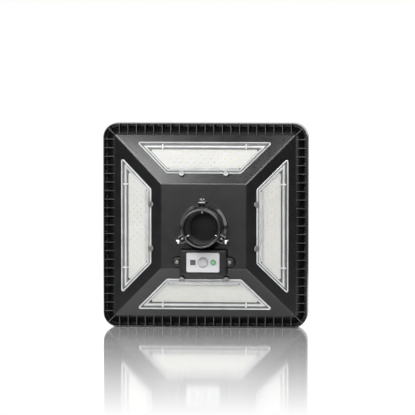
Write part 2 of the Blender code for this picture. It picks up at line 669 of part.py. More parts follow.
def make_sensor():
    """Sensor box with its plate, dome, window, button, board, seal and screws."""
    base_z = FACE_Z + GAP + SEAL_THICK + GAP
    x1 = BOX_WIDTH / 2
    y0 = BOX_Y - BOX_HEIGHT / 2
    y1 = BOX_Y + BOX_HEIGHT / 2
    wall_z = BOX_FRONT_Z - BOX_WALL
    casing = solid(
        "sensor_housing", [rounded(rectangle(-x1, y0, x1, y1), [0.004] * 4)], base_z,
        BOX_FRONT_Z, BLACK)
    ears = solid(
        "sensor_ears",
        [rounded(
            rectangle(-EAR_X - EAR_R, BOX_Y - EAR_R, EAR_X + EAR_R, BOX_Y + EAR_R),
            [EAR_R - 0.0001] * 4, 8)],
        base_z, EAR_Z, None, FLAT, CUTTERS)
    combine(casing, "UNION", ears)
    room = [
        box(
            "room", -ROOM_HALF, ROOM_LOW_Y, base_z - 0.001, ROOM_HALF, ROOM_HIGH_Y, wall_z, None,
            FLAT, CUTTERS)]
    combine(casing, "DIFFERENCE", gather("sensor_room", room))
    posts = [
        cylinder(
            "post", 0.002, SENSOR_BOARD_Z + BOARD_THICK + GAP, wall_z + 0.001, 10, None,
            at(x, -0.062), CUTTERS)
        for x in (-SENSOR_POST_X, SENSOR_POST_X)]
    combine(casing, "UNION", gather("sensor_posts", posts))
    recess_z = BOX_FRONT_Z - 0.001
    half_w = PLATE_WIDTH / 2 + GAP
    half_h = PLATE_HEIGHT / 2 + GAP
    recess = solid(
        "plate_recess",
        [rounded(rectangle(-half_w, BOX_Y - half_h, half_w, BOX_Y + half_h), [0.003] * 4)],
        recess_z, BOX_FRONT_Z + 0.001, None, FLAT, CUTTERS)
    combine(casing, "DIFFERENCE", recess)
    side = WINDOW_SIDE / 2 + GAP
    low = FRONT_HOLE_LOW
    high = FRONT_HOLE_HIGH
    holes = [
        cylinder("hole", DOME_R + GAP, low, high, 32, None, at(0, BOX_Y), CUTTERS),
        cylinder("hole", BUTTON_R + GAP, low, high, 24, None, at(BUTTON_X, BOX_Y), CUTTERS),
        box(
            "hole", WINDOW_X - side, BOX_Y - side, low, WINDOW_X + side, BOX_Y + side, high,
            None, FLAT, CUTTERS),
        cylinder("hole", SOCKET_BASE_R + 0.0005, 0.030, 0.0442, STEPS, None, FLAT, CUTTERS)]
    for x in (-EAR_X, EAR_X):
        holes.append(cylinder("hole", 0.0019, 0.030, 0.045, 12, None, at(x, BOX_Y), CUTTERS))
    combine(casing, "DIFFERENCE", gather("sensor_holes", holes))
    tidy_flats(casing)

    plate_low = recess_z + GAP
    half_w -= GAP
    half_h -= GAP
    outline = rounded(rectangle(-half_w, BOX_Y - half_h, half_w, BOX_Y + half_h), [0.0027] * 4)
    window = rectangle(
        WINDOW_X - side, BOX_Y - side, WINDOW_X + side, BOX_Y + side)
    plate(
        "sensor_faceplate",
        [outline, circle(DOME_R + GAP, 32, (0, BOX_Y)),
         circle(BUTTON_R + GAP, 24, (BUTTON_X, BOX_Y)), window],
        plate_low, plate_low + 0.0009, SILVER)

    # Motion lens: a thin dome on a flange that sits behind the front wall.
    flange_high = wall_z - GAP
    flange_low = flange_high - 0.0012
    foot = BOX_FRONT_Z - 0.0002
    thin = 0.001
    turns = [math.radians(18 * i) for i in range(6)]
    dome = [(DOME_R * math.sin(t), foot + DOME_RISE * math.cos(t)) for t in turns]
    inside = [
        ((DOME_R - thin) * math.sin(t), foot + (DOME_RISE - thin) * math.cos(t))
        for t in reversed(turns)]
    profile = dome + [(DOME_R, flange_high), (0.011, flange_high), (0.011, flange_low),
                      (DOME_R - 0.001, flange_low)] + inside
    turned("motion_lens", profile, 20, DOME_WHITE, at(0, BOX_Y))
    half = WINDOW_SIDE / 2
    box(
        "remote_window", WINDOW_X - half, BOX_Y - half, 0.0425, WINDOW_X + half, BOX_Y + half,
        BOX_FRONT_Z + 0.0002, WINDOW_DARK)

    # Push button with a collar that stops it behind the wall.
    button = [
        (0, 0.0022), (0.0042, 0.0022), (BUTTON_R, 0.0014), (BUTTON_R, -0.0028),
        (0.0062, -0.0028), (0.0062, -0.0043), (0.0015, -0.0043), (0.0015, -0.0057), (0, -0.0057)]
    turned("power_button", button, 16, BUTTON_GREEN, at(BUTTON_X, BOX_Y, BOX_FRONT_Z))

    edge = rectangle(-ROOM_HALF + 0.001, ROOM_LOW_Y + 0.0005, ROOM_HALF - 0.001, ROOM_HIGH_Y - 0.001)
    plate(
        "sensor_board", [rounded(edge, [0.001] * 4, 1)], SENSOR_BOARD_Z,
        SENSOR_BOARD_Z + BOARD_THICK, BOARD_GREEN)
    part_low = SENSOR_BOARD_Z + BOARD_THICK + GAP
    can = [
        (0, part_low + 0.0042), (0.0038, part_low + 0.0042), (0.0041, part_low + 0.0038),
        (0.0041, part_low + 0.0006), (0.0046, part_low + 0.0006), (0.0046, part_low),
        (0, part_low)]
    turned("motion_detector", can, 20, STEEL, at(0, BOX_Y))
    box(
        "button_switch", BUTTON_X - 0.003, BOX_Y - 0.003, part_low, BUTTON_X + 0.003,
        BOX_Y + 0.003, part_low + 0.0030, WINDOW_DARK)
    plate(
        "sensor_seal",
        [rectangle(-0.041, ROOM_LOW_Y - 0.0013, 0.041, ROOM_HIGH_Y + 0.0013),
         rectangle(-0.0397, ROOM_LOW_Y - 0.0001, 0.0397, ROOM_HIGH_Y + 0.0001)],
        FACE_Z + GAP, FACE_Z + GAP + SEAL_THICK, RUBBER)
    for number, x in enumerate((-EAR_X, EAR_X), 1):
        turned(
            "sensor_screw_%d" % number, screw_profile(0.0034, 0.0022, 0.0013, 0.0118), 12, STEEL,
            at(x, BOX_Y, EAR_Z + GAP))


# Battery, controller and leads --------------------------------------------------------

def make_battery():
    """Four cells in a tray, held by a strap."""
    tray = box(
        "battery_tray", -TRAY_HALF_X, BATTERY_Y - TRAY_HALF_Y, -0.018, TRAY_HALF_X,
        BATTERY_Y + TRAY_HALF_Y, TRAY_FLOOR_Z + TRAY_WALL, BLACK)
    inner_x = TRAY_HALF_X - TRAY_WALL
    inner_y = TRAY_HALF_Y - TRAY_WALL
    room = box(
        "tray_room", -inner_x, BATTERY_Y - inner_y, -0.020, inner_x, BATTERY_Y + inner_y,
        TRAY_FLOOR_Z, None, FLAT, CUTTERS)
    combine(tray, "DIFFERENCE", room)
    lie = Matrix.Rotation(math.radians(90), 4, "Y")
    number = 0
    for x in (-CELL_X, CELL_X):
        for y in (BATTERY_Y - CELL_Y, BATTERY_Y + CELL_Y):
            number += 1
            cylinder(
                "battery_cell_%d" % number, CELL_R, -CELL_LENGTH / 2, CELL_LENGTH / 2, 24,
                CELL_WRAP, at(x, y, BATTERY_Z) @ lie)
    # The strap's outline is drawn across the cells and extruded along them.
    over = CELL_R + GAP - BATTERY_Z
    out = over + STRAP_THICK
    leg = TRAY_HALF_Y + GAP
    wide = leg + STRAP_THICK
    end = 0.002
    outline = [
        (out, -wide), (out, wide), (end, wide), (end, leg), (over, leg), (over, -leg),
        (end, -leg), (end, -wide)]
    plate(
        "battery_strap", [outline], -STRAP_HALF, STRAP_HALF, STEEL, at(0, BATTERY_Y) @ lie)


def make_controller():
    """Charge controller board with its larger components."""
    board = box(
        "charge_controller", -CONTROLLER_HALF, CONTROLLER_LOW_Y, CONTROLLER_Z, CONTROLLER_HALF,
        CONTROLLER_HIGH_Y, CONTROLLER_Z + BOARD_THICK, BOARD_GREEN)
    sink = 0.0002
    components = [
        box("coil", 0.012, -0.060, 0.005, 0.026, -0.046, CONTROLLER_Z + sink, None, FLAT, CUTTERS),
        box("block", -0.030, -0.068, 0.007, -0.006, -0.061, CONTROLLER_Z + sink, None, FLAT,
            CUTTERS),
        box("block", -0.020, -0.042, 0.006, 0.000, -0.034, CONTROLLER_Z + sink, None, FLAT,
            CUTTERS)]
    combine(board, "UNION", gather("controller_components", components))


def smooth_route(points, spacing):
    """Points along a smooth curve through the given ones, at about equal spacing."""
    ends = [points[0] * 2 - points[1]] + points + [points[-1] * 2 - points[-2]]
    route = []
    for i in range(1, len(ends) - 2):
        a, b, c, d = ends[i - 1:i + 3]
        count = max(1, round((c - b).length / spacing))
        for k in range(count):
            t = k / count
            route.append(0.5 * (
                2 * b + (c - a) * t + (2 * a - 5 * b + 4 * c - d) * t ** 2
                + (3 * b - a - 3 * c + d) * t ** 3))
    route.append(points[-1])
    return route


def lead(name, points, radius=0.0016):
    """Insulated wire along a smooth route."""
    curve = bpy.data.curves.new(name, "CURVE")
    curve.dimensions = "3D"
    curve.bevel_depth = radius
    curve.bevel_resolution = 2
    curve.use_fill_caps = True
    route = smooth_route([Vector(p) for p in points], 0.012)
    spline = curve.splines.new("POLY")
    spline.points.add(len(route) - 1)
    for point, place in zip(spline.points, route):
        point.co = (*place, 1)
    return add(bpy.data.objects.new(name, curve), FLAT, LEAD_WIRE)


def make_leads():
    """Wires from the panel, battery, LED boards and sensor to the controller."""
    solder = 0.0018
    landing = CONTROLLER_Z - solder
    laminate = FRAME_BACK + LIP_THICK + GLASS_THICK + LAMINATE_THICK + 2 * GAP + solder
    lead("panel_lead", [
        (-0.100, 0.010, laminate), (-0.100, 0.008, -0.028), (-0.092, -0.026, -0.008),
        (-0.062, -0.048, 0.000), (-0.040, -0.050, 0.003), (-0.036, -0.050, landing)])
    lead("battery_lead", [
        (0.0762, 0.014, -0.006), (0.082, -0.006, -0.012), (0.066, -0.030, -0.004),
        (0.040, -0.040, 0.002), (0.034, -0.040, landing)])
    lead("sensor_lead", [
        (0, SENSOR_LEAD_Y, CONTROLLER_Z + BOARD_THICK + GAP), (0, SENSOR_LEAD_Y, 0.026),
        (0, SENSOR_LEAD_Y, SENSOR_BOARD_Z - GAP)])
    led_routes = {
        "top": [
            (0.050, 0.112, 0.002), (0.090, 0.075, -0.004), (0.098, 0.020, -0.002),
            (0.088, -0.020, 0.002), (0.048, -0.029, 0.004), (0.040, -0.029, landing)],
        "left": [
            (-0.114, 0.014, 0.002), (-0.096, -0.022, 0.000), (-0.046, -0.036, 0.003),
            (-0.041, -0.036, landing)],
        "bottom": [
            (-0.014, -0.112, 0.004), (-0.006, -0.085, 0.002), (0.003, -0.069, 0.003),
            (0.004, -0.066, landing)],
        "right": [
            (0.114, -0.026, 0.002), (0.082, -0.048, 0.000), (0.046, -0.056, 0.003),
            (0.040, -0.056, landing)]}
    for side, route in led_routes.items():
        frame = slope_frame(SLOPE_SIDES[side])
        through = [
            frame @ Vector((LEAD_X, 0, -LENS_BED)), frame @ Vector((LEAD_X, 0, -0.004)),
            frame @ Vector((LEAD_X, 0, -0.008))]
        lead("led_lead_" + side, through + route)


make_housing()
make_solar_side()
make_lens_fields()
make_socket()
make_sensor()
make_battery()
make_controller()
make_leads()
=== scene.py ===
# %% [markdown]
# # A solar floodlight for the top of a pole
#
# The lamp is a square black housing with four clear light fields round a pole socket, a
# small motion-sensor box under the socket and a solar panel on its back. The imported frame
# already holds every part at its real size. These cells dress it: each visible part is
# worked out again as a smooth surface with numpy, and each part gets a procedural finish.
# The frame is loaded first, because every place below is read from it.

# %% Load the frame
import math

import bmesh
import bpy
import numpy as np
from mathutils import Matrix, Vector


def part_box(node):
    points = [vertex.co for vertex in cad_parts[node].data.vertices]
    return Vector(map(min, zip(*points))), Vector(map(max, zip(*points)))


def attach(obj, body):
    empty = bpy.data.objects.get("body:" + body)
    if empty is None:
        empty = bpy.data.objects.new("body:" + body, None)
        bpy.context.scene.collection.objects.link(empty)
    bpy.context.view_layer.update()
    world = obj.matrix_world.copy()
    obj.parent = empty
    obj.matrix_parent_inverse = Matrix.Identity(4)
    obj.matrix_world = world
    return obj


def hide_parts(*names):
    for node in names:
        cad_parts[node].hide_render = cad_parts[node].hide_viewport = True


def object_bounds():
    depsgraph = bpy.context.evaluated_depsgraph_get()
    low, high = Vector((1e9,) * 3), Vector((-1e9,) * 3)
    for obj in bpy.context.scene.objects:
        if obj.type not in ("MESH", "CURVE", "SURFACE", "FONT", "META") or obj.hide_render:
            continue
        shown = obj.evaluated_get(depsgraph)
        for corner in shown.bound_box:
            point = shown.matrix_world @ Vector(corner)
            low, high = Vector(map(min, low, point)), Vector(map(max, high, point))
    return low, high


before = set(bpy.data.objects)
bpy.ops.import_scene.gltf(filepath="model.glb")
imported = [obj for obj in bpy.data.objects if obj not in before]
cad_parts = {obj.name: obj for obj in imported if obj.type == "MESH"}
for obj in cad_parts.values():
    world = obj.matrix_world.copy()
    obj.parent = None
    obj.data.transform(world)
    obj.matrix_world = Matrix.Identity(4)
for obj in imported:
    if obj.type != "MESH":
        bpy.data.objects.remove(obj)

frame_low, frame_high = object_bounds()
print("frame box, mm:", [round(1000 * side) for side in frame_high - frame_low])

# %% [markdown]
# ## Two frames
#
# The lamp was designed lying on its panel: X to the right, Y up the face, Z out of the
# light side, with Z = 0 at the front of the rim. All shapes here are written in that lying
# frame, because a profile reads best there. `stand` then turns the points upright as whole
# arrays, so that every finished object stays at the origin with its place in its mesh.

# %% Lying frame and standing frame
MM = 0.001
housing_low, housing_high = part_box("lower_housing")
RIM_DEPTH = 36 * MM
LAMP_Y = housing_high.y - RIM_DEPTH
CENTRE_Z = (housing_low.z + housing_high.z) / 2
HALF = (housing_high.x - housing_low.x) / 2


def stand(points):
    """World place of lying points: X stays, Y becomes height, Z becomes minus Y."""
    points = np.asarray(points, dtype=float)
    return np.stack(
        [points[..., 0], LAMP_Y - points[..., 2], CENTRE_Z + points[..., 1]], axis=-1)


print("half side %.1f mm, rim front at y = %.1f mm" % (HALF / MM, LAMP_Y / MM))

# %% [markdown]
# ## Camera, floor and light
#
# The lamp is seen almost square on, from a little to its right and a little above, through
# a long lens. The light is a plain white studio: soft boxes above and in front, a white
# surround for the camera, and a pale glossy floor that mirrors the lamp. The surround is
# dimmer for reflected rays in front of the lamp, as black cards beside a product are.

# %% Camera
AZIMUTH = math.radians(4.8)
ELEVATION = math.radians(3.4)
DISTANCE = 7.0
FRAME_WIDTH = 0.768
SENSOR = 36.0
AIM_RIGHT = 6.6 * MM
AIM_UP = 34.9 * MM

centre = Vector((0, (frame_low.y + frame_high.y) / 2, CENTRE_Z))
sight = Vector((
    math.sin(AZIMUTH) * math.cos(ELEVATION), -math.cos(AZIMUTH) * math.cos(ELEVATION),
    math.sin(ELEVATION)))
camera_data = bpy.data.cameras.new("camera")
camera_data.sensor_width = SENSOR
camera_data.lens = SENSOR * DISTANCE / FRAME_WIDTH
camera_data.clip_end = 1000
camera = bpy.data.objects.new("camera", camera_data)
bpy.context.scene.collection.objects.link(camera)
camera.rotation_euler = (-sight).to_track_quat("-Z", "Y").to_euler()
right = Vector((math.cos(AZIMUTH), math.sin(AZIMUTH), 0))
up = right.cross(-sight).normalized()
camera.location = centre + sight * DISTANCE + right * AIM_RIGHT + up * AIM_UP
bpy.context.scene.camera = camera
bpy.context.scene.view_settings.view_transform = "Standard"
print("lens %.0f mm at %.1f m" % (camera_data.lens, DISTANCE))

# %% Soft boxes
def soft_box(name, place, target, width, height, watts):
    """Rectangular area light at a place, turned towards a target."""
    data = bpy.data.lights.new(name, "AREA")
    data.shape = "RECTANGLE"
    data.size = width
    data.size_y = height
    data.energy = watts
    light = bpy.data.objects.new(name, data)
    light.location = place
    light.rotation_euler = (Vector(target) - Vector(place)).to_track_quat("-Z", "Y").to_euler()
    bpy.context.scene.collection.objects.link(light)


middle = (0, 0, CENTRE_Z)
soft_box("top_left_box", (-0.60, -1.24, 1.13), middle, 0.7, 0.35, 13)
soft_box("top_right_box", (0.42, -1.24, 1.13), middle, 0.5, 0.35, 6)
soft_box("edge_strip", (-0.2, -2.2, 0.86), middle, 2.3, 0.34, 36)
soft_box("overhead_box", (0, -1.3, 3.0), middle, 2.2, 1.2, 8)
soft_box("left_box", (-3.2, -1.0, 1.0), middle, 1.6, 1.6, 11)
soft_box("left_high_box", (-2.1, -0.9, 2.4), middle, 1.4, 1.4, 12)
soft_box("right_box", (3.2, -1.0, 1.0), middle, 1.6, 1.6, 14)
soft_box("right_high_box", (2.3, -0.9, 2.2), middle, 1.4, 1.4, 12)
soft_box("front_card", (-0.2, -3.2, 0.1), middle, 1.3, 1.3, 5.2)
soft_box("floor_card", (0, -0.125, 0.006), (0, -0.124, 1), 0.6, 0.29, 0.2)
print(len(bpy.data.lights), "soft boxes")

# %% [markdown]
# Nodes are set up many times below, so three helpers do it: one sets the named inputs of a
# node, one adds a node and sets them, and one links two nodes. Keyword names can't hold
# spaces, so an underscore stands for each space in an input's name.

# %% Node helpers
def set_inputs(node, **values):
    """Default values of a node's named inputs."""
    for name, value in values.items():
        node.inputs[name.replace("_", " ")].default_value = value


def add_node(tree, kind, **values):
    """New shader node of a kind, with its named inputs set."""
    node = tree.nodes.new("ShaderNode" + kind)
    set_inputs(node, **values)
    return node


def wire(source, output, target, socket):
    """Link from a node's output to another node's input, each by its name or number."""
    source.id_data.links.new(source.outputs[output], target.inputs[socket])


print("helpers: set_inputs, add_node, wire")

# %% [markdown]
# The surround is white where the camera sees it. For reflected rays its strength runs along
# Y, from nearly black in front of the lamp to bright behind it. An even white world would
# be simpler, but it would turn the glossy black plastic grey.

# %% Surround
SURROUND_FRONT = 0.03
SURROUND_BACK = 1.35
SURROUND_TURN = 0.25
world = bpy.data.worlds.new("studio")
world.use_nodes = True
bpy.context.scene.world = world
tree = world.node_tree
background = tree.nodes["Background"]
set_inputs(background, Color=(1, 1, 1, 1))
paths = add_node(tree, "LightPath")
coordinates = add_node(tree, "TexCoord")
split = add_node(tree, "SeparateXYZ")
ramp = add_node(tree, "MapRange", From_Min=-SURROUND_TURN, From_Max=SURROUND_TURN,
                To_Min=SURROUND_FRONT, To_Max=SURROUND_BACK)
seen = add_node(tree, "Mix", B=1.0)
wire(coordinates, "Generated", split, "Vector")
wire(split, "Y", ramp, "Value")
wire(paths, "Is Camera Ray", seen, "Factor")
wire(ramp, "Result", seen, "A")
wire(seen, "Result", background, "Strength")
print("surround from %.2f to %.2f" % (SURROUND_FRONT, SURROUND_BACK))

# %% [markdown]
# The floor is a glossy pale sheet that mirrors the lamp near its foot and turns into plain
# white further out. A Mix Shader does this: its factor is the distance from the middle of
# the floor, raised to a power so that the mirror fades late.

# %% Floor
FLOOR_REACH = 400.0
FLOOR_GREY = 0.7
FLOOR_ROUGH = 0.06
FLOOR_GLOW = 0.12
MIRROR_REACH = 1.42
MIRROR_FADE = 2.4
floor_mesh = bpy.data.meshes.new("floor")
corners = np.array([[-1, -1], [1, -1], [1, 1], [-1, 1]]) * FLOOR_REACH
floor_mesh.from_pydata(
    np.column_stack([corners, np.zeros(4)]).tolist(), [], [(0, 1, 2, 3)])
floor = bpy.data.objects.new("floor", floor_mesh)
bpy.context.scene.collection.objects.link(floor)
floor_finish = bpy.data.materials.new("floor_finish")
floor_finish.use_nodes = True
tree = floor_finish.node_tree
shader = tree.nodes["Principled BSDF"]
set_inputs(shader, Base_Color=(FLOOR_GREY, FLOOR_GREY, FLOOR_GREY, 1), Roughness=FLOOR_ROUGH,
           IOR=1.45, Coat_Weight=0.8, Coat_Roughness=FLOOR_ROUGH)
glow = add_node(tree, "Emission")
seen = add_node(tree, "Mix", A=FLOOR_GLOW, B=1.0)
paths = add_node(tree, "LightPath")
place = add_node(tree, "TexCoord")
distance = add_node(tree, "VectorMath")
distance.operation = "LENGTH"
fade = add_node(tree, "MapRange", From_Max=MIRROR_REACH)
slow = add_node(tree, "Math")
slow.operation = "POWER"
slow.inputs[1].default_value = MIRROR_FADE
blend = add_node(tree, "MixShader")
wire(paths, "Is Camera Ray", seen, "Factor")
wire(seen, "Result", glow, "Strength")
wire(place, "Object", distance, 0)
wire(distance, "Value", fade, "Value")
wire(fade, "Result", slow, 0)
wire(slow, "Value", blend, "Fac")
wire(shader, "BSDF", blend, 1)
wire(glow, "Emission", blend, 2)
wire(blend, "Shader", tree.nodes["Material Output"], "Surface")
floor_mesh.materials.append(floor_finish)
print("floor mirrors up to %.2f m out" % MIRROR_REACH)

# %% [markdown]
# ## Finishes
#
# Moulded plastic is never one even colour: the tool's texture breaks up its highlights and
# its gloss wanders. One recipe covers the plastics, rubber and metals: a fine noise for the
# grain, used as bump, and a coarse noise that moves the roughness and the colour a little.
# Everything reads Object coordinates, so a pattern keeps its real size on every piece.

# %% A finish with grain and wandering gloss
WANDER_SIZE = 25 * MM
COAT_ROUGH = 0.08
LEAST_ROUGH = 0.02


def finish(name, colour, rough, metal=0.0, grain=0.4, depth=0.02, wander=0.06, shade=0.12,
           alpha=1.0, coat=0.0, specular=0.5):
    """Principled finish. Grain is the size in mm of the bumps, depth their height in mm;
    wander moves the roughness and shade the brightness, both with the coarse noise."""
    material = bpy.data.materials.new(name)
    material.use_nodes = True
    tree = material.node_tree
    shader = tree.nodes["Principled BSDF"]
    set_inputs(shader, Metallic=metal, Alpha=alpha, Coat_Weight=coat, Coat_Roughness=COAT_ROUGH,
               Specular_IOR_Level=specular)
    place = add_node(tree, "TexCoord")
    coarse = add_node(tree, "TexNoise", Scale=1 / WANDER_SIZE, Detail=4)
    fine = add_node(tree, "TexNoise", Scale=1 / (grain * MM), Detail=2)
    wire(place, "Object", coarse, "Vector")
    wire(place, "Object", fine, "Vector")
    gloss = add_node(tree, "MapRange", To_Min=max(rough - wander, LEAST_ROUGH),
                     To_Max=rough + wander)
    wire(coarse, "Fac", gloss, "Value")
    wire(gloss, "Result", shader, "Roughness")
    tones = add_node(tree, "ValToRGB")
    low = [channel * (1 - shade) for channel in colour]
    high = [min(channel * (1 + shade), 1) for channel in colour]
    tones.color_ramp.elements[0].position = 0.3
    tones.color_ramp.elements[0].color = (*low, 1)
    tones.color_ramp.elements[1].position = 0.7
    tones.color_ramp.elements[1].color = (*high, 1)
    wire(coarse, "Fac", tones, "Fac")
    wire(tones, "Color", shader, "Base Color")
    bump = add_node(tree, "Bump", Strength=1.0, Distance=depth * MM)
    wire(fine, "Fac", bump, "Height")
    wire(bump, "Normal", shader, "Normal")
    return material


print("coarse noise %.0f mm" % (WANDER_SIZE / MM))

# %% [markdown]
# The lamp is nearly all black, so its black parts differ by gloss more than by colour: the
# socket is polished, the housing satin, the sensor box and the panel frame duller. The ribs
# are a lighter, glossier copy of the housing black, a painted highlight. The clear covers
# are thin skins of low alpha, and their lighter edges are painted light grey with more
# alpha, a painted highlight. The screws and the bolts are plated steel in two shades, and
# the nuts a darker one, painted shade for the pockets they sit in.

# %% The lamp's finishes
BLACK = finish("black_moulding", (0.005, 0.005, 0.0055), 0.24, grain=0.5, depth=0.004)
# Painted highlight: the ribs are the housing's own moulding, made lighter and glossier so that
# they read bright.
RIB_HIGHLIGHT_BLACK = finish("rib_painted_highlight", (0.01, 0.01, 0.0105), 0.32, grain=0.5, depth=0.004,
                   specular=0.8)
DULL = finish("dull_moulding", (0.006, 0.006, 0.006), 0.4, grain=0.5, depth=0.01, specular=0.15)
CASE_BLACK = finish("case_moulding", (0.006, 0.006, 0.0065), 0.34, depth=0.008, specular=0.3)
FRAME_BLACK = finish("frame_moulding", (0.03, 0.03, 0.032), 0.38, grain=0.6, depth=0.02)
SOCKET_BLACK = finish("socket_moulding", (0.005, 0.005, 0.0055), 0.16, grain=0.8, depth=0.003,
                      specular=1.0)
TRAY_BLACK = finish("tray_moulding", (0.03, 0.03, 0.03), 0.5)
# Painted highlight: the cover's bead, walls, clips and short-edge flutes are light grey with more
# alpha, where the clear plastic catches the light.
BEAD = finish("lens_bead_painted_highlight", (0.58, 0.59, 0.58), 0.16, grain=2, depth=0.01, alpha=0.86)
CLEAR = finish("lens_clear", (0.85, 0.87, 0.86), 0.2, grain=3, depth=0.002, alpha=0.07)
FLUTE_HIGHLIGHT = finish("lens_flutes_painted_highlight", (0.4, 0.41, 0.41), 0.2, grain=2, depth=0.01, alpha=0.9)
WALL_HIGHLIGHT = finish("lens_walls_painted_highlight", (0.46, 0.47, 0.47), 0.16, grain=2, depth=0.01, alpha=0.9)
# Painted shade: near black, for the clear flutes along the long edge that look dark.
FLUTE_PAINTED_SHADE = finish("lens_shadow_flutes", (0.05, 0.05, 0.05), 0.15, grain=2, depth=0.01)
BOARD = finish("white_solder_mask", (0.43, 0.43, 0.425), 0.45, grain=0.5, depth=0.01, shade=0.03)
PHOSPHOR = finish("led_phosphor", (0.5, 0.46, 0.25), 0.35, grain=0.3, shade=0.05)
# Painted shadow: a near-black, almost unreflecting finish for the sheet round the sensor box.
SHADOW = finish("painted_gap_shadow", (0.001, 0.001, 0.001), 0.8, grain=0.5, depth=0.01, specular=0.02)
# Painted shade: the nuts are a darker copy of the plated steel, for the shade of the pockets they
# sit in.
NUT_SHADED_STEEL = finish("nut_steel_painted_shade", (0.12, 0.12, 0.12), 0.3, 1.0, grain=0.5, depth=0.01)
STEEL = finish("zinc_plate", (0.22, 0.22, 0.215), 0.42, 1.0, grain=0.5, depth=0.01)
BOLT_STEEL = finish("bolt_plate", (0.62, 0.61, 0.58), 0.16, 1.0, grain=0.5, depth=0.006)
RUBBER = finish("black_silicone", (0.03, 0.03, 0.03), 0.7, grain=0.5, depth=0.03)
SILVER = finish("silver_satin", (0.42, 0.42, 0.435), 0.3, grain=0.25, depth=0.012, shade=0.03)
DOME = finish("milky_dome", (0.33, 0.33, 0.34), 0.13, grain=1, depth=0.004, coat=0.3)
WINDOW = finish("dark_window", (0.06, 0.06, 0.065), 0.14, grain=1, depth=0.004)
GREEN = finish("green_rubber", (0.06, 0.24, 0.09), 0.42, grain=0.3, depth=0.02)
MARK_WHITE = finish("mark_paint", (0.5, 0.54, 0.5), 0.4, grain=0.3, depth=0.01)
GLASS = finish("toughened_glass", (0.03, 0.034, 0.04), 0.05, grain=5, depth=0.002, alpha=0.25)
BACKING = finish("cell_backing", (0.012, 0.013, 0.016), 0.35, grain=1, depth=0.01)
RIBBON = finish("tinned_ribbon", (0.5, 0.5, 0.5), 0.3, 1.0, grain=0.4, depth=0.02)
WRAP = finish("battery_wrap", (0.02, 0.09, 0.32), 0.3, grain=2, depth=0.01, coat=0.4)
CIRCUIT = finish("green_circuit", (0.02, 0.12, 0.05), 0.35, grain=1.2, depth=0.03, shade=0.3)
WIRE = finish("wire_red", (0.3, 0.02, 0.02), 0.45, grain=0.6, depth=0.02)
print(len(bpy.data.materials), "finishes")

# %% [markdown]
# ## From arrays to meshes
#
# Every surface below is a stack of closed rings: an array of rings x points x 3. `skin`
# joins neighbouring rings with quads and closes the ends. Blender's own primitives and
# modifiers could make some of the parts, but one way for all keeps their seams alike.

# %% Skins: rings of points and the faces between them
def skin(rings, loop=False):
    """Points and faces of a stack of rings. Quads join each point to its neighbours along
    the ring and in the next ring; a loop joins the last ring to the first, and otherwise
    the end rings are closed by one many-sided face each."""
    rings = np.asarray(rings, dtype=float)
    rows, columns = rings.shape[:2]
    index = np.arange(rows * columns).reshape(rows, columns)
    upper = np.roll(index, -1, axis=0) if loop else index[1:]
    lower = index if loop else index[:-1]
    quads = np.stack(
        [lower, np.roll(lower, -1, axis=1), np.roll(upper, -1, axis=1), upper], axis=-1)
    faces = [quads.reshape(-1, 4)]
    if not loop:
        faces += [index[0][::-1][None], index[-1][None]]
    return rings.reshape(-1, 3), faces


def moved(shape, offset):
    """A skin moved by one offset."""
    return shape[0] + np.asarray(offset), shape[1]


def many(shape, offsets):
    """The same skin repeated at each offset, as one skin: points broadcast over offsets."""
    points, faces = shape
    offsets = np.asarray(offsets, dtype=float)
    copies = (points[None] + offsets[:, None]).reshape(-1, 3)
    shift = (np.arange(len(offsets)) * len(points))[:, None, None]
    return copies, [(face[None] + shift).reshape(-1, face.shape[1]) for face in faces]


def join(shapes):
    """Several skins as one: points are stacked and the faces' numbers move along."""
    starts = np.cumsum([0] + [len(points) for points, faces in shapes])
    faces = [face + start for (points, own), start in zip(shapes, starts) for face in own]
    return np.concatenate([points for points, own in shapes]), faces


print("helpers: skin, moved, many, join")

# %% [markdown]
# `make` writes any number of skins into one mesh with `foreach_set`, without a Python loop
# over vertices. It then merges doubled points, turns every face outwards, keeps the sharp
# edges sharp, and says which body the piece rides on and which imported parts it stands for.

# %% One object from a list of skins
MERGE = 1e-6


def make(name, skins, finishes, body="lamp", replaces=(), angle=32):
    """One object from a list of skins. The n-th skin takes the n-th finish (or the last),
    and edges sharper than the angle stay sharp."""
    finishes = finishes if isinstance(finishes, (list, tuple)) else [finishes]
    points = []
    corners = []
    sizes = []
    numbers = []
    start = 0
    for order, (skin_points, faces) in enumerate(skins):
        points.append(skin_points)
        for face in faces:
            corners.append((face + start).ravel())
            sizes.append(np.full(len(face), face.shape[1]))
            numbers.append(np.full(len(face), min(order, len(finishes) - 1)))
        start += len(skin_points)
    points = stand(np.concatenate(points))
    corners = np.concatenate(corners)
    sizes = np.concatenate(sizes)
    mesh = bpy.data.meshes.new(name)
    mesh.vertices.add(len(points))
    mesh.vertices.foreach_set("co", points.astype(np.float32).ravel())
    mesh.loops.add(len(corners))
    mesh.loops.foreach_set("vertex_index", corners.astype(np.int32))
    mesh.polygons.add(len(sizes))
    mesh.polygons.foreach_set("loop_start", (np.cumsum(sizes) - sizes).astype(np.int32))
    mesh.polygons.foreach_set("material_index", np.concatenate(numbers).astype(np.int32))
    for material in finishes:
        mesh.materials.append(material)
    mesh.update(calc_edges=True)
    mesh.validate()
    tidy = bmesh.new()
    tidy.from_mesh(mesh)
    bmesh.ops.remove_doubles(tidy, verts=tidy.verts, dist=MERGE)
    bmesh.ops.recalc_face_normals(tidy, faces=tidy.faces)
    tidy.to_mesh(mesh)
    tidy.free()
    mesh.shade_smooth()
    mesh.set_sharp_from_angle(angle=math.radians(angle))
    piece = bpy.data.objects.new(name, mesh)
    bpy.context.scene.collection.objects.link(piece)
    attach(piece, body)
    if replaces:
        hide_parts(*replaces)
    print("%-22s %6d faces" % (name, len(mesh.polygons)))


print("helper: make")

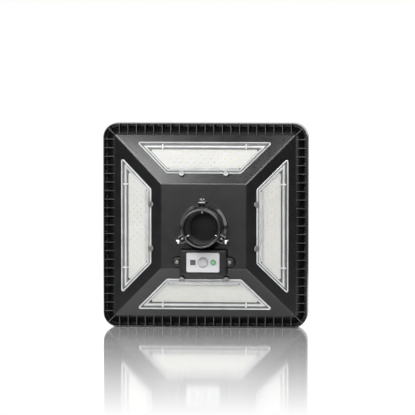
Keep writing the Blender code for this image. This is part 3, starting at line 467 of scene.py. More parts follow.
# %% [markdown]
# ## Outlines
#
# Most of the lamp's parts are rounded polygons at some height: the square rim, the light
# fields, the sensor box, the bosses. One function draws them all. A corner is an arc that
# touches both edges, and an inset moves every edge inwards before the corners are rounded.

# %% Rounded polygons
LEAST_CORNER = 0.2 * MM


def outline(corners, radii, inset=0.0, steps=8):
    """Points round a convex polygon given anticlockwise. Each edge moves in by its inset,
    and each corner becomes an arc of its radius. One number serves all edges or corners."""
    corners = np.asarray(corners, dtype=float)
    insets = np.broadcast_to(np.asarray(inset, dtype=float), (len(corners),))
    edges = np.roll(corners, -1, axis=0) - corners
    edges /= np.linalg.norm(edges, axis=1, keepdims=True)
    normals = np.column_stack([-edges[:, 1], edges[:, 0]])
    shifted = (corners * normals).sum(axis=1) + insets
    before = np.roll(normals, 1, axis=0)
    reach = np.stack([np.roll(shifted, 1), shifted], axis=1)
    corners = np.linalg.solve(np.stack([before, normals], axis=1), reach[..., None])[..., 0]
    cosine = (normals * before).sum(axis=1)
    radii = np.broadcast_to(np.asarray(radii, dtype=float), (len(corners),))
    radii = np.maximum(radii - insets.max(), LEAST_CORNER)
    centres = corners + (normals + before) * (radii / (1 + cosine))[:, None]
    start = np.arctan2(-before[:, 1], -before[:, 0])
    sweep = np.arctan2(-normals[:, 1], -normals[:, 0]) - start
    sweep = (sweep + 2 * np.pi) % (2 * np.pi)
    angles = start[:, None] + sweep[:, None] * np.linspace(0, 1, steps + 1)
    arcs = centres[:, None] + radii[:, None, None] * np.stack(
        [np.cos(angles), np.sin(angles)], axis=-1)
    return arcs.reshape(-1, 2)


def box_corners(x0, y0, x1, y1):
    """Corners of a rectangle, anticlockwise."""
    return [(x0, y0), (x1, y0), (x1, y1), (x0, y1)]


def at_height(flat, height):
    """Flat points lifted to one height."""
    return np.column_stack([flat, np.full(len(flat), float(height))])


def stack(corners, radii, levels, steps=8):
    """Rings of one rounded polygon, for each (inset, height) of a list of levels."""
    return np.array([
        at_height(outline(corners, radii, inset, steps), height) for inset, height in levels])


def box_rings(half_x, half_y, radii, levels, centre=(0, 0), steps=8):
    """Rings of one rounded rectangle about a centre, for each (inset, height)."""
    x, y = centre
    return stack(box_corners(x - half_x, y - half_y, x + half_x, y + half_y), radii, levels, steps)


def square_rings(levels, steps=10):
    """Rings of rounded squares, for each (half side, corner radius, height)."""
    return np.array([
        at_height(outline(box_corners(-half, -half, half, half), radius, 0, steps), height)
        for half, radius, height in levels])


print("a rounded square has", len(outline(box_corners(-1, -1, 1, 1), 0.1)), "points")

# %% [markdown]
# Round parts are turned like clay on a wheel: a profile of radii and heights becomes rings
# about an axis. `bend` softens a corner of any profile with a quadratic Bezier curve, which
# needs only the corner and where the curve starts and ends.

# %% Turned rings and soft corners
def turned(profile, steps=96):
    """Rings about the Z axis: each (radius, height) of the profile becomes a circle."""
    angles = np.linspace(0, 2 * np.pi, steps, endpoint=False)
    radius, height = np.asarray(profile, dtype=float).T
    return np.stack([
        radius[:, None] * np.cos(angles), radius[:, None] * np.sin(angles),
        np.repeat(height[:, None], steps, axis=1)], axis=-1)


def bend(corner_a, corner, corner_b, steps=4):
    """Smooth corner of a profile: a curve from a to b pulled towards the corner point."""
    t = np.linspace(0, 1, steps + 1)[:, None]
    a, c, b = (np.asarray(p, dtype=float) for p in (corner_a, corner, corner_b))
    return ((1 - t) ** 2 * a + 2 * t * (1 - t) * c + t ** 2 * b).tolist()


print("helpers: turned, bend")

# %% [markdown]
# ## The lower housing
#
# One moulding makes the rim, the ribbed trough behind it, the four slopes and the flat face
# that holds the socket. It could be carved with Booleans, but as a stack of rounded squares
# it is one clean closed skin: up the outer wall, over the lip, down into the trough, up the
# slope and over to the face, with the inner wall following it back to the joint.

# %% Housing profile
BASE_HALF = 169 * MM
BASE_Z = 1.5 * MM
FACE_HALF = 79 * MM
FACE_Z = 32 * MM
WALL = 2.5 * MM
HIP_R = 3.2 * MM
SLOPE = math.atan2(FACE_Z - BASE_Z, BASE_HALF - FACE_HALF)
RIM_R = 27 * MM
EDGE = 0.9 * MM
SLOT_OUTER = HALF - WALL
SLOT_INNER = 183 * MM
SLOT_FLOOR = -30 * MM
POCKET_LOW = -12 * MM
POCKET_TOP = -1.5 * MM
CAVITY_HALF = 180.5 * MM


def up_slope(distance_in):
    """Height of the slope at a distance in from its outer edge."""
    return BASE_Z + distance_in * math.tan(SLOPE)


inner_wall = [
    (71 * MM, HIP_R, FACE_Z - 3 * MM), (161.9 * MM, HIP_R, 0.7 * MM),
    (CAVITY_HALF, 18 * MM, -13.2 * MM), (CAVITY_HALF, 18 * MM, -RIM_DEPTH)]
outer_wall = [
    (HALF - 0.6 * MM, RIM_R - 0.6 * MM, -RIM_DEPTH), (HALF, RIM_R, -RIM_DEPTH + 0.6 * MM)]
lip = [
    (half, RIM_R - (HALF - half), height) for half, height in
    bend((HALF, -EDGE), (HALF, 0), (HALF - EDGE, 0))
    + bend((SLOT_OUTER + EDGE, 0), (SLOT_OUTER, 0), (SLOT_OUTER, -EDGE))]
trough = [
    (SLOT_OUTER, RIM_R - WALL, SLOT_FLOOR), (SLOT_INNER, 20 * MM, SLOT_FLOOR),
    (SLOT_INNER, 20 * MM, POCKET_LOW - 1 * MM), (SLOT_INNER - 1 * MM, 19 * MM, POCKET_LOW),
    (BASE_HALF + 1 * MM, 5 * MM, POCKET_TOP - 0.7 * MM), (BASE_HALF, 3 * MM, POCKET_TOP)]
slope = [
    (half, HIP_R, height) for half, height in
    bend((BASE_HALF, BASE_Z - 0.7 * MM), (BASE_HALF, BASE_Z),
         (BASE_HALF - 1 * MM, up_slope(1 * MM)))
    + bend((FACE_HALF + 1.4 * MM, FACE_Z - 1.4 * MM * math.tan(SLOPE)), (FACE_HALF, FACE_Z),
           (FACE_HALF - 1.4 * MM, FACE_Z))]
housing_skin = skin(square_rings(inner_wall + outer_wall + lip + trough + slope))
print("housing rings:", len(inner_wall + outer_wall + lip + trough + slope))

# %% [markdown]
# The trough is bridged by thin ribs, 21 on each side and one across each corner. Each rib
# is the same small plate, so it is worked out once and turned into its places as an array.

# %% Ribs
RIB_PITCH = 16 * MM
RIB_COUNT = 21
RIB_HALF = 0.8 * MM
RIB_EDGE = 0.35 * MM


def rib(reach_in, reach_out):
    """Plate across the trough: its side view, in (distance, height), is repeated at four
    thicknesses, and the two outer ones are drawn in at the top for a softened edge."""
    side_view = np.array([
        (reach_in, -4 * MM), (SLOT_INNER - 1.2 * MM, POCKET_LOW - 2 * MM),
        (SLOT_INNER - 0.6 * MM, SLOT_FLOOR - 0.6 * MM), (reach_out, SLOT_FLOOR - 0.6 * MM),
        (reach_out, -0.15 * MM), (reach_in, -0.15 * MM)])
    drop = np.array([0, 0, 0, 0, RIB_EDGE, RIB_EDGE])
    layers = []
    for across, lowered in ((-RIB_HALF, 1), (-RIB_HALF + RIB_EDGE, 0), (RIB_HALF - RIB_EDGE, 0),
                            (RIB_HALF, 1)):
        layers.append(np.column_stack([
            side_view[:, 0], np.full(6, across), side_view[:, 1] - lowered * drop]))
    return skin(layers)


def spin(shape, degrees):
    """A skin turned about the lamp's axis."""
    turn = math.radians(degrees)
    matrix = np.array([
        [math.cos(turn), -math.sin(turn), 0], [math.sin(turn), math.cos(turn), 0], [0, 0, 1]])
    return shape[0] @ matrix.T, shape[1]


offsets = (np.arange(RIB_COUNT) - (RIB_COUNT - 1) / 2) * RIB_PITCH
row = np.column_stack([np.zeros(RIB_COUNT), offsets, np.zeros(RIB_COUNT)])
straight_ribs = many(rib(BASE_HALF - 1 * MM, SLOT_OUTER + 0.6 * MM), row)
print(RIB_COUNT, "ribs on each side")

# %% Corner ribs, spigot and the whole housing
corner_reach = (HALF - RIM_R) * math.sqrt(2) + RIM_R - WALL + 0.6 * MM
corner_in = BASE_HALF * math.sqrt(2) - 2 * MM
corner_rib_view = np.array([
    (corner_in, -0.6 * MM), (corner_reach - 0.2 * MM, -6 * MM), (corner_reach, -6 * MM),
    (corner_reach, -0.15 * MM), (corner_in, -0.15 * MM)])
corner_rib = skin([
    np.column_stack([corner_rib_view[:, 0], np.full(5, across), corner_rib_view[:, 1]])
    for across in (-RIB_HALF, RIB_HALF)])
ribs = [spin(straight_ribs, turn) for turn in (0, 90, 180, 270)]
ribs += [spin(corner_rib, turn) for turn in (45, 135, 225, 315)]
SPIGOT_R = 25.4 * MM
spigot = skin(turned(
    [(SPIGOT_R, FACE_Z - 0.5 * MM)]
    + bend((SPIGOT_R, 36.2 * MM), (SPIGOT_R, 37 * MM), (SPIGOT_R - 0.8 * MM, 37 * MM))))
# The ribs take the lighter copy of the housing black, a painted highlight.
make("housing_shell", [housing_skin, spigot, join(ribs)], [BLACK, DULL, RIB_HIGHLIGHT_BLACK],
     replaces=["lower_housing"])

# %% [markdown]
# ## Light fields
#
# Each slope carries a clear trapezoid cover over a white board of small LEDs. The real
# cover is one clear moulding, but its bead, its fluted walls and its bright bar scatter
# light and read as lighter lines. They are made as surfaces of their own, painted light
# grey with a thin film of alpha: a painted highlight, which gives that look without slow
# refraction.

# %% Slope frame
U_SHORT = 97.2 * MM
U_LONG = 154.6 * MM
HALF_SHORT = 68.9 * MM
HALF_LONG = 126.9 * MM
MID_U = (U_SHORT + U_LONG) / 2
MID_Z = BASE_Z + (BASE_HALF - MID_U) * math.tan(SLOPE)
FIELD = (U_LONG - U_SHORT) / math.cos(SLOPE)
LEAN = (HALF_LONG - HALF_SHORT) / FIELD
SIDES = {"top": 0, "left": 90, "bottom": 180, "right": 270}
COVER_R = np.array([7.5, 3, 3, 7.5]) * MM


def on_slope(shape, turn):
    """A skin from slope coordinates (along, outward down the slope, off the slope) to the
    lying frame: tilt by the slope's angle, move to its middle, spin to its side."""
    x, y, z = shape[0].T
    tilted = np.column_stack([
        x, MID_U + y * math.cos(SLOPE) + z * math.sin(SLOPE),
        MID_Z - y * math.sin(SLOPE) + z * math.cos(SLOPE)])
    return spin((tilted, shape[1]), turn)


def field(short=0.0, long=0.0, side=0.0):
    """Corners of the trapezoid, anticlockwise, after its edges move in by these amounts."""
    drift = side * math.sqrt(1 + LEAN * LEAN)
    low = -FIELD / 2 + short
    high = FIELD / 2 - long

    def half_width(v):
        return HALF_SHORT + (v + FIELD / 2) * LEAN - drift

    return [(half_width(low), low), (half_width(high), high),
            (-half_width(high), high), (-half_width(low), low)]


print("slope %.1f degrees, field %.1f mm deep" % (math.degrees(SLOPE), FIELD / MM))

# %% [markdown]
# Under each cover lies a white board with rows of small LEDs, every second row moved by
# half a pitch. A texture could draw the LEDs, but they stand up from the board and catch
# the light, so each is a small rounded block: one block, repeated as an array.

# %% LED board and packages
LED_PITCH = 12.6 * MM
LED_ROW = 7.2 * MM
LED_LONG = 3.0 * MM
LED_WIDE = 2.6 * MM
BOARD_TOP = 1.3 * MM
BOARD_SHORT = 11 * MM
BOARD_LONG = 14 * MM
BOARD_SIDE = 8 * MM
LED_MARGIN = 4 * MM
SLANT = 1.4
MOST_COLUMNS = 12


def led_places():
    """Staggered rows of LEDs. A row keeps the LEDs that stay a margin inside the board's
    slanted ends. Along a row, the ends' inset is longer by about the slant."""
    rows = np.arange(
        -FIELD / 2 + BOARD_SHORT + LED_MARGIN, FIELD / 2 - BOARD_LONG - LED_MARGIN / 2, LED_ROW)
    columns = np.arange(-MOST_COLUMNS, MOST_COLUMNS + 1) * LED_PITCH
    x = columns[None] + (np.arange(len(rows)) % 2)[:, None] * LED_PITCH / 2
    y = np.repeat(rows[:, None], len(columns), axis=1)
    room = HALF_SHORT + (y + FIELD / 2) * LEAN - BOARD_SIDE * SLANT - LED_MARGIN
    keep = np.abs(x) < room
    return np.column_stack([x[keep], y[keep], np.full(keep.sum(), BOARD_TOP)])


package = skin(box_rings(
    LED_LONG / 2, LED_WIDE / 2, 0.5 * MM,
    [(0, -0.1 * MM), (0, 0.55 * MM), (0.25 * MM, 0.8 * MM)], steps=1))
places = led_places()
board_corners = field(BOARD_SHORT, BOARD_LONG, BOARD_SIDE)
for side, turn in SIDES.items():
    board = skin(stack(
        board_corners, 3 * MM,
        [(0, -0.3 * MM), (0, BOARD_TOP - 0.2 * MM), (0.2 * MM, BOARD_TOP)]))
    make("light_board_" + side, [on_slope(board, turn)], BOARD,
         replaces=["led_board_" + side])
    make("leds_" + side, [on_slope(many(package, places), turn)], PHOSPHOR)
print(len(places), "LEDs on each board")

# %% [markdown]
# The cover is a clear trapezoid tray. Its outline is offset inwards level by level: `bead`
# is the raised rim that lies on the slope, `roof` the clear tray above the LEDs and `wall`
# its side wall, which stands further in along the long edge. The bead and the wall are
# painted lighter than the clear roof, a painted highlight. A glass shader on one solid
# would be truer, but light refracts slowly and noisily through it.

# %% Clear cover with its bead, wall and roof
BEAD_TOP = 3.9 * MM
ROOF = 9.2 * MM
BAR_INSET = 4.2 * MM
bead_levels = [
    (0, 0.8 * MM), (0, 2.9 * MM), (0.35 * MM, 3.6 * MM), (0.9 * MM, BEAD_TOP),
    (1.5 * MM, BEAD_TOP), (2.1 * MM, 3.5 * MM), (2.3 * MM, 2.6 * MM), (2.3 * MM, 0.8 * MM)]
bead = skin(stack(field(), COVER_R, bead_levels), loop=True)
roof_levels = [
    (3.2 * MM, 0.8 * MM), (3.5 * MM, 3.2 * MM), (4.4 * MM, 8.2 * MM), (5.0 * MM, 8.9 * MM),
    (6.0 * MM, ROOF)]
roof = skin(stack(field(), COVER_R, roof_levels))
wall_levels = [
    (3.3 * MM, 0.9 * MM), (3.9 * MM, 5.5 * MM), (6.6 * MM, 5.0 * MM), (7.2 * MM, 0.9 * MM)]
wall = skin(stack(field(0, BAR_INSET, 0), COVER_R, wall_levels), loop=True)
print("cover levels:", len(bead_levels), len(roof_levels), len(wall_levels))

# %% [markdown]
# Rows of small flutes are moulded along the cover's two parallel edges, to spread the
# light. They are real waves in the surface, |sin| of the place along the edge, because a
# bump would look flat against the slope from the side. The short edge's flutes are painted
# light grey, a painted highlight; the long edge's flutes, and one more row inside them, are
# painted near black, a painted shade. Two small clips hold each cover, and a gasket lies
# under its rim.

# %% Flutes, clips and gasket
FLUTE = 2.1 * MM
FLUTE_POINTS = 6
FLUTE_BODY = 1.2 * MM


def strip(x0, x1, v0, v1, height, pitch, swell):
    """Fluted strip: a closed ring across the strip at each place along it. Its top height
    swells with |sin| of that place, one flute every pitch, and its underside is flat."""
    count = max(2, int(round((x1 - x0) / pitch))) * FLUTE_POINTS + 1
    along = np.linspace(x0, x1, count)
    wave = height + swell * np.abs(np.sin(np.pi * (along - x0) / pitch))
    flat = np.full(count, height - FLUTE_BODY)
    lines = [
        np.column_stack([along, np.full(count, v), level])
        for v, level in ((v0, wave), (v1, wave), (v1, flat), (v0, flat))]
    return skin(np.stack(lines).transpose(1, 0, 2))


short_half = HALF_SHORT - 4 * MM
long_half = HALF_LONG - 9 * MM
short_flutes = strip(
    -short_half, short_half, -FIELD / 2 + 4.2 * MM, -FIELD / 2 + 10 * MM, 5.6 * MM, FLUTE,
    0.9 * MM)
long_flutes = strip(
    -long_half, long_half, FIELD / 2 - 7.4 * MM, FIELD / 2 - 2.8 * MM, 2.2 * MM, FLUTE, 0.7 * MM)
dark_flutes = strip(
    -long_half + 8 * MM, long_half - 8 * MM, FIELD / 2 - 14 * MM, FIELD / 2 - 11 * MM, 1.6 * MM,
    FLUTE, 0.7 * MM)
CLIP_X = 77.5 * MM
clip = skin(stack(
    box_corners(-1.3 * MM, FIELD / 2 - 14.5 * MM, 1.3 * MM, FIELD / 2 - 5.5 * MM), 0.6 * MM,
    [(0, 1.5 * MM), (0, 7.6 * MM), (0.4 * MM, 8.0 * MM)], steps=3))
clips = many(clip, [(-CLIP_X, 0, 0), (CLIP_X, 0, 0)])
gasket = skin(stack(
    field(), COVER_R, [(0.4 * MM, -0.3 * MM), (0.4 * MM, 0.8 * MM), (4 * MM, 0.8 * MM),
                       (4 * MM, -0.3 * MM)]), loop=True)
for side, turn in SIDES.items():
    # The bead, walls, clips and short-edge flutes carry the light grey painted highlight.
    make("cover_" + side,
         [on_slope(part, turn) for part in (bead, wall, clips, short_flutes, roof)],
         [BEAD, WALL_HIGHLIGHT, BEAD, FLUTE_HIGHLIGHT, CLEAR],
         replaces=["lens_cover_" + side])
    # The long edge's flutes and the row inside them take the near-black painted shade.
    make("cover_flutes_" + side,
         [on_slope(part, turn) for part in (long_flutes, dark_flutes)], FLUTE_PAINTED_SHADE)
    make("gasket_" + side, [on_slope(gasket, turn)], RUBBER,
         replaces=["lens_seal_" + side])

# %% [markdown]
# ## Screws, bolts and nuts
#
# A screw head is a low disc with a dome above it that a slot splits in two, or a cross in
# four. Cutting the slots would need Booleans; here each part of the dome is built on its
# own instead, as a stack of pie-shaped rings that stop short of the slot on every side.

# %% Heads
def dome_parts(radius, low, high, slot, arms):
    """Dome split by one slot (arms = 1) or a cross (arms = 2). Each part's ring is an arc
    of the dome's radius at that height, between the angles where it meets the slot, and
    closes through the corner by the slot."""
    share = np.array([1.0, 1.0, 0.95, 0.82, 0.6])
    heights = low + (high - low) * np.array([0, 0.45, 0.75, 0.93, 1.0])
    skins = []
    for part in range(2 * arms):
        rings = []
        for reach, height in zip(radius * share, heights):
            edge = math.asin(slot / 2 / reach)
            end = (math.pi if arms == 1 else math.pi / 2) - edge
            angles = np.linspace(edge, end, 15)
            arc = np.column_stack([reach * np.cos(angles), reach * np.sin(angles)])
            corner = [[0 if arms == 1 else slot / 2, slot / 2]]
            rings.append(at_height(np.vstack([arc, corner]), height))
        skins.append(spin(skin(rings), part * 180 / arms))
    return skins


def screw(radius, height, slot, arms, shank, length):
    """Head with its seat at zero, over a plain shank with a pointed end."""
    disc = skin(turned([
        (shank, 0.01 * MM), (radius - 0.2 * MM, 0), (radius, 0.2 * MM), (radius, 0.45 * height),
        (0.3 * radius, 0.46 * height)], 40))
    body = skin(turned([
        (0.3 * shank, -length), (shank, -length + 0.8 * shank), (shank, 0.2 * height)], 20))
    return [disc, body] + dome_parts(radius, 0.4 * height, height, slot, arms)


THREAD_ROWS = 6


def thread(radius, depth, pitch, low, high, steps=24):
    """Screw thread as a grid in (turn, length), six rows to a pitch: the radius is a triangle
    wave of length / pitch - turn, so the crest climbs one pitch for each time round."""
    rows = int((high - low) / pitch * THREAD_ROWS)
    z = np.linspace(low, high, rows)[:, None]
    angle = np.linspace(0, 2 * np.pi, steps, endpoint=False)[None]
    phase = (z / pitch - angle / (2 * np.pi)) % 1
    fade = np.clip(np.minimum(z - low, high - z) / pitch, 0, 1)
    reach = radius - depth * fade * np.abs(2 * phase - 1)
    return skin(np.stack(
        [reach * np.cos(angle), reach * np.sin(angle), np.broadcast_to(z, reach.shape)], axis=-1))


print("helpers: dome_parts, screw, thread")

# %% [markdown]
# Two screws hold the short edge of each cover. Every screw stopped at an angle of its own
# when it was tightened, so each cross is turned a little further than the one before.

# %% Screws of the light fields
LENS_SCREW_X = 41 * MM
SLOT_TURN = 20
LENS_SCREW_SEAT = 3.3 * MM
for number in range(8):
    side_turn = 90 * (number // 2)
    x = LENS_SCREW_X * (2 * (number % 2) - 1)
    parts = screw(5.4 * MM, 2.6 * MM, 1.3 * MM, 2, 1.75 * MM, 11.5 * MM)
    parts = [spin(part, SLOT_TURN * number) for part in parts]
    move = (x, -FIELD / 2, LENS_SCREW_SEAT)
    make("field_screw_%d" % (number + 1),
         [on_slope(moved(part, move), side_turn) for part in parts], STEEL,
         replaces=["lens_screw_%d" % (number + 1)])

# %% [markdown]
# ## Pole socket
#
# The sleeve is turned: a flared foot, a straight wall and a rounded front rim, with a seat
# ring at the bottom for the pole's end. Three bosses stand against it, each with a pocket
# that holds a nut, and a long bolt through each nut grips the pole.

# %% Sleeve
SOCKET_BASE = FACE_Z + 0.3 * MM
SOCKET_FRONT = 95 * MM
BORE_R = 32.5 * MM
RIM_OUT = 35.7 * MM
SEAT_Z = 40 * MM
foot = [(44.6 * MM, SOCKET_BASE), (44.6 * MM, 37.2 * MM)]
foot += bend((44.5 * MM, 37.8 * MM), (44.2 * MM, 38.7 * MM), (43.6 * MM, 39.3 * MM))
foot += bend((39.0 * MM, 43.0 * MM), (37.5 * MM, 44.3 * MM), (37.1 * MM, 50.5 * MM), 6)
rim = bend((RIM_OUT, SOCKET_FRONT - 1.2 * MM), (RIM_OUT, SOCKET_FRONT),
           (RIM_OUT - 1.2 * MM, SOCKET_FRONT))
rim += bend((BORE_R + 1 * MM, SOCKET_FRONT), (BORE_R, SOCKET_FRONT),
            (BORE_R, SOCKET_FRONT - 1 * MM))
seat = [(BORE_R, SEAT_Z + 0.5 * MM), (BORE_R - 0.5 * MM, SEAT_Z), (29.6 * MM, SEAT_Z),
        (29 * MM, SEAT_Z - 0.6 * MM), (29 * MM, SOCKET_BASE)]
sleeve = skin(turned(foot + rim + seat, 128), loop=True)
print("sleeve profile points:", len(foot + rim + seat))

# %% Bosses and the whole socket
BOSS_IN = 33.7 * MM
BOSS_OUT = 48.3 * MM
BOSS_HALF = 7.3 * MM
BOSS_TOP = 72 * MM
WEB_HALF = 9.5 * MM
WEB_OUT = 42.5 * MM
POCKET_IN = 38.6 * MM
POCKET_OUT = 44.2 * MM
POCKET_HALF = 5.3 * MM
POCKET_FLOOR = 58 * MM
boss_rings = stack(
    box_corners(BOSS_IN, -BOSS_HALF, BOSS_OUT, BOSS_HALF), np.array([0.5, 2.4, 2.4, 0.5]) * MM,
    [(0, SOCKET_BASE), (0, BOSS_TOP - 0.8 * MM), (0.25 * MM, BOSS_TOP - 0.2 * MM),
     (0.8 * MM, BOSS_TOP)], steps=6)
pocket_rings = stack(
    box_corners(POCKET_IN, -POCKET_HALF, POCKET_OUT, POCKET_HALF), 0.5 * MM,
    [(-0.3 * MM, BOSS_TOP), (0, BOSS_TOP - 0.3 * MM), (0, POCKET_FLOOR)], steps=6)
boss = skin(np.concatenate([boss_rings, pocket_rings]))
web = skin(stack(
    box_corners(BOSS_IN, -WEB_HALF, WEB_OUT, WEB_HALF), np.array([0.5, 3, 3, 0.5]) * MM,
    [(0, SOCKET_BASE), (0, 59 * MM), (0.8 * MM, 60 * MM)], steps=4))
BOLT_ANGLES = (90, 210, 330)
bosses = [spin(part, angle) for angle in BOLT_ANGLES for part in (boss, web)]
make("socket_sleeve", [sleeve] + bosses, SOCKET_BLACK, replaces=["pole_socket"])

# %% [markdown]
# A clamp bolt is a steel rod with a real thread: a grid whose radius is a triangle wave
# that climbs one pitch each turn. A bump could fake it, but the thread shows at the edge of
# the bolt where it leaves the boss. Each bolt rides on its own body, and its nut stays.

# %% Clamp bolts and their nuts
BOLT_Z = 64 * MM
HEAD_R = 50.2 * MM
TIP_R = 26.7 * MM
NUT_R = 38.9 * MM
NUT_FLATS = 10 * MM
NUT_THICK = 5 * MM


def radial(shape, angle, radius):
    """A skin from bolt coordinates, Z along the bolt and outward, to the lying frame."""
    x, y, z = shape[0].T
    return spin((np.column_stack([radius + z, y, BOLT_Z - x]), shape[1]), angle)


length = HEAD_R - TIP_R
tip = skin(turned([
    (1.9 * MM, -length), (2.1 * MM, -length + 0.1 * MM), (2.75 * MM, -length + 1.2 * MM),
    (2.75 * MM, -length + 3 * MM)], 24))
bolt_parts = [
    thread(3 * MM, 0.45 * MM, 1 * MM, -length + 1 * MM, -0.8 * MM), tip,
    skin(turned([(3 * MM, -1.4 * MM), (3 * MM, 0.4 * MM)], 24)),
    skin(turned([
        (3 * MM, 0.01 * MM), (4.9 * MM, 0), (5.2 * MM, 0.3 * MM), (5.2 * MM, 1.9 * MM),
        (1.6 * MM, 1.92 * MM)], 40))]
bolt_parts += dome_parts(5.2 * MM, 1.7 * MM, 3.8 * MM, 1.5 * MM, 1)
corner_r = NUT_FLATS / math.sqrt(3)
turns = np.radians(np.arange(0, 360, 60))
hexagon = np.column_stack([corner_r * np.cos(turns), corner_r * np.sin(turns)])
nut_rings = [at_height(outline(hexagon, 0.4 * MM, inset, 3), height) for inset, height in (
    (0.5 * MM, 0), (0, 0.35 * MM), (0, NUT_THICK - 0.35 * MM), (0.5 * MM, NUT_THICK))]
bore = turned([(3.4 * MM, NUT_THICK), (3.05 * MM, NUT_THICK - 0.4 * MM), (3.05 * MM, 0.4 * MM),
               (3.4 * MM, 0)], 24)
start_turn = int(np.argmin(np.abs(np.arctan2(nut_rings[0][:, 1], nut_rings[0][:, 0]))))
nut_rings = [np.roll(ring, -start_turn, axis=0) for ring in nut_rings]
nut = skin(nut_rings + list(bore), loop=True)
# Each nut takes the darker plated steel, painted shade for its pocket in the boss.
for number, angle in enumerate(BOLT_ANGLES, 1):
    make("bolt_%d_steel" % number, [radial(part, angle, HEAD_R) for part in bolt_parts],
         BOLT_STEEL, body="bolt_%d" % number, replaces=["clamp_bolt_%d" % number])
    make("nut_%d_steel" % number, [radial(nut, angle, NUT_R)], NUT_SHADED_STEEL,
         replaces=["clamp_nut_%d" % number])

# %% [markdown]
# ## Motion sensor box
#
# The box is a soft-edged black moulding with an ear and a screw on each side. A silver
# plate is let into its front, round a dark window for the remote, a milky faceted dome for
# the heat sensor and a green push button. The plate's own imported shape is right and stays.

# %% Box
BOX_Y = -65.5 * MM
BOX_HALF_W = 43.5 * MM
BOX_HALF_H = 23.5 * MM
BOX_R = 4 * MM
BOX_MIDDLE = (0, BOX_Y)
BOX_FRONT = 48 * MM
BOX_BASE = 33.4 * MM
EAR_X = 49 * MM
EAR_R = 9 * MM
EAR_TOP = 41 * MM
PLATE_HALF_W = 30.8 * MM
PLATE_HALF_H = 18.3 * MM
casing_rings = box_rings(
    BOX_HALF_W, BOX_HALF_H, BOX_R,
    [(0, BOX_BASE), (0, BOX_FRONT - 1.8 * MM), (0.25 * MM, BOX_FRONT - 0.9 * MM),
     (0.8 * MM, BOX_FRONT - 0.3 * MM), (1.8 * MM, BOX_FRONT)], BOX_MIDDLE)
recess_rings = box_rings(
    PLATE_HALF_W, PLATE_HALF_H, 3 * MM,
    [(-0.3 * MM, BOX_FRONT), (0, BOX_FRONT - 0.3 * MM), (0, BOX_FRONT - 1 * MM)], BOX_MIDDLE)
casing = skin(np.concatenate([casing_rings, recess_rings]))
print("box front %.1f mm above the face" % ((BOX_FRONT - FACE_Z) / MM))

# %% Ears, collars and a painted shadow round the box
GAP_SHADOW_REACH = 1.2 * MM
EAR_CORNER = EAR_R - 0.1 * MM
ears = skin(box_rings(
    EAR_X + EAR_R, EAR_R, EAR_CORNER,
    [(0, BOX_BASE), (0, EAR_TOP - 1.8 * MM), (0.3 * MM, EAR_TOP - 0.9 * MM),
     (0.9 * MM, EAR_TOP - 0.3 * MM), (1.8 * MM, EAR_TOP)], BOX_MIDDLE, 14))
collar = skin(turned([
    (5.6 * MM, EAR_TOP - 0.4 * MM), (5.6 * MM, EAR_TOP + 0.5 * MM), (5.2 * MM, EAR_TOP + 0.8 * MM),
    (4.4 * MM, EAR_TOP + 0.8 * MM), (4.2 * MM, EAR_TOP + 0.2 * MM)], 40))
collars = many(collar, [(-EAR_X, BOX_Y, 0), (EAR_X, BOX_Y, 0)])
# The aprons are a near-black sheet just round the box and its ears, a painted shadow for the gap
# where the box meets the face.
shadow_apron_levels = [
    (-GAP_SHADOW_REACH, FACE_Z + 0.1 * MM), (-GAP_SHADOW_REACH, FACE_Z + 1.1 * MM), (0.5 * MM, BOX_BASE + 0.2 * MM)]
painted_shadow_aprons = [
    skin(box_rings(*size, shadow_apron_levels, BOX_MIDDLE, 14))
    for size in ((BOX_HALF_W, BOX_HALF_H, BOX_R), (EAR_X + EAR_R, EAR_R, EAR_CORNER))]
make("sensor_case", [join([casing, ears, collars]), join(painted_shadow_aprons)], [CASE_BLACK, SHADOW],
     replaces=["sensor_housing"])
for number, x in enumerate((-EAR_X, EAR_X), 1):
    parts = screw(3.4 * MM, 2.2 * MM, 0.9 * MM, 2, 1.3 * MM, 11.8 * MM)
    move = (x, BOX_Y, EAR_TOP + 0.3 * MM)
    make("box_screw_%d" % number, [moved(part, move) for part in parts], STEEL,
         replaces=["sensor_screw_%d" % number])

# %% [markdown]
# The window is a square of dark plastic with fine grooves across it. As a heightfield its
# crown and its grooves are one formula over a grid, which no bevelled box would give.

# %% Window
WINDOW_X = -18.6 * MM
WINDOW_HALF = 4.7 * MM

def window_face(cells=36, panes=3):
    """Square heightfield: a low crown that falls to the edge, with fine grooves where
    panes meet. The sides drop down and the last ring closes the back."""
    t = np.linspace(-1, 1, cells + 1)
    x, y = np.meshgrid(t, t)
    crown = 0.35 * MM * (1 - np.maximum(np.abs(x), np.abs(y)) ** 6)
    groove_x = np.abs((x + 1) / 2 * panes - np.round((x + 1) / 2 * panes))
    groove_y = np.abs((y + 1) / 2 * panes - np.round((y + 1) / 2 * panes))
    groove = np.clip(1 - np.minimum(groove_x, groove_y) / 0.12, 0, 1) * 0.25 * MM
    points = np.column_stack([
        x.ravel() * WINDOW_HALF + WINDOW_X, y.ravel() * WINDOW_HALF + BOX_Y,
        (BOX_FRONT + crown - groove).ravel()])
    index = np.arange(points.shape[0]).reshape(cells + 1, cells + 1)
    quads = np.stack([index[:-1, :-1], index[:-1, 1:], index[1:, 1:], index[1:, :-1]], axis=-1)
    edge = np.concatenate([index[0, :-1], index[:-1, -1], index[-1, :0:-1], index[:0:-1, 0]])
    base = points[edge] * [1, 1, 0] + [0, 0, 42.5 * MM]
    ring = np.arange(len(edge)) + len(points)
    sides = np.stack([edge, np.roll(edge, -1), np.roll(ring, -1), ring], axis=-1)
    return np.vstack([points, base]), [quads.reshape(-1, 4), sides, ring[None]]


make("remote_eye", [window_face()], WINDOW, replaces=["remote_window"], angle=20)

# %% [markdown]
# The milky dome gathers heat for the sensor behind it through many small facets. A dome
# turned in only 18 steps and 8 heights, with its edges kept sharp, shows those facets
# without modelling each little lens.

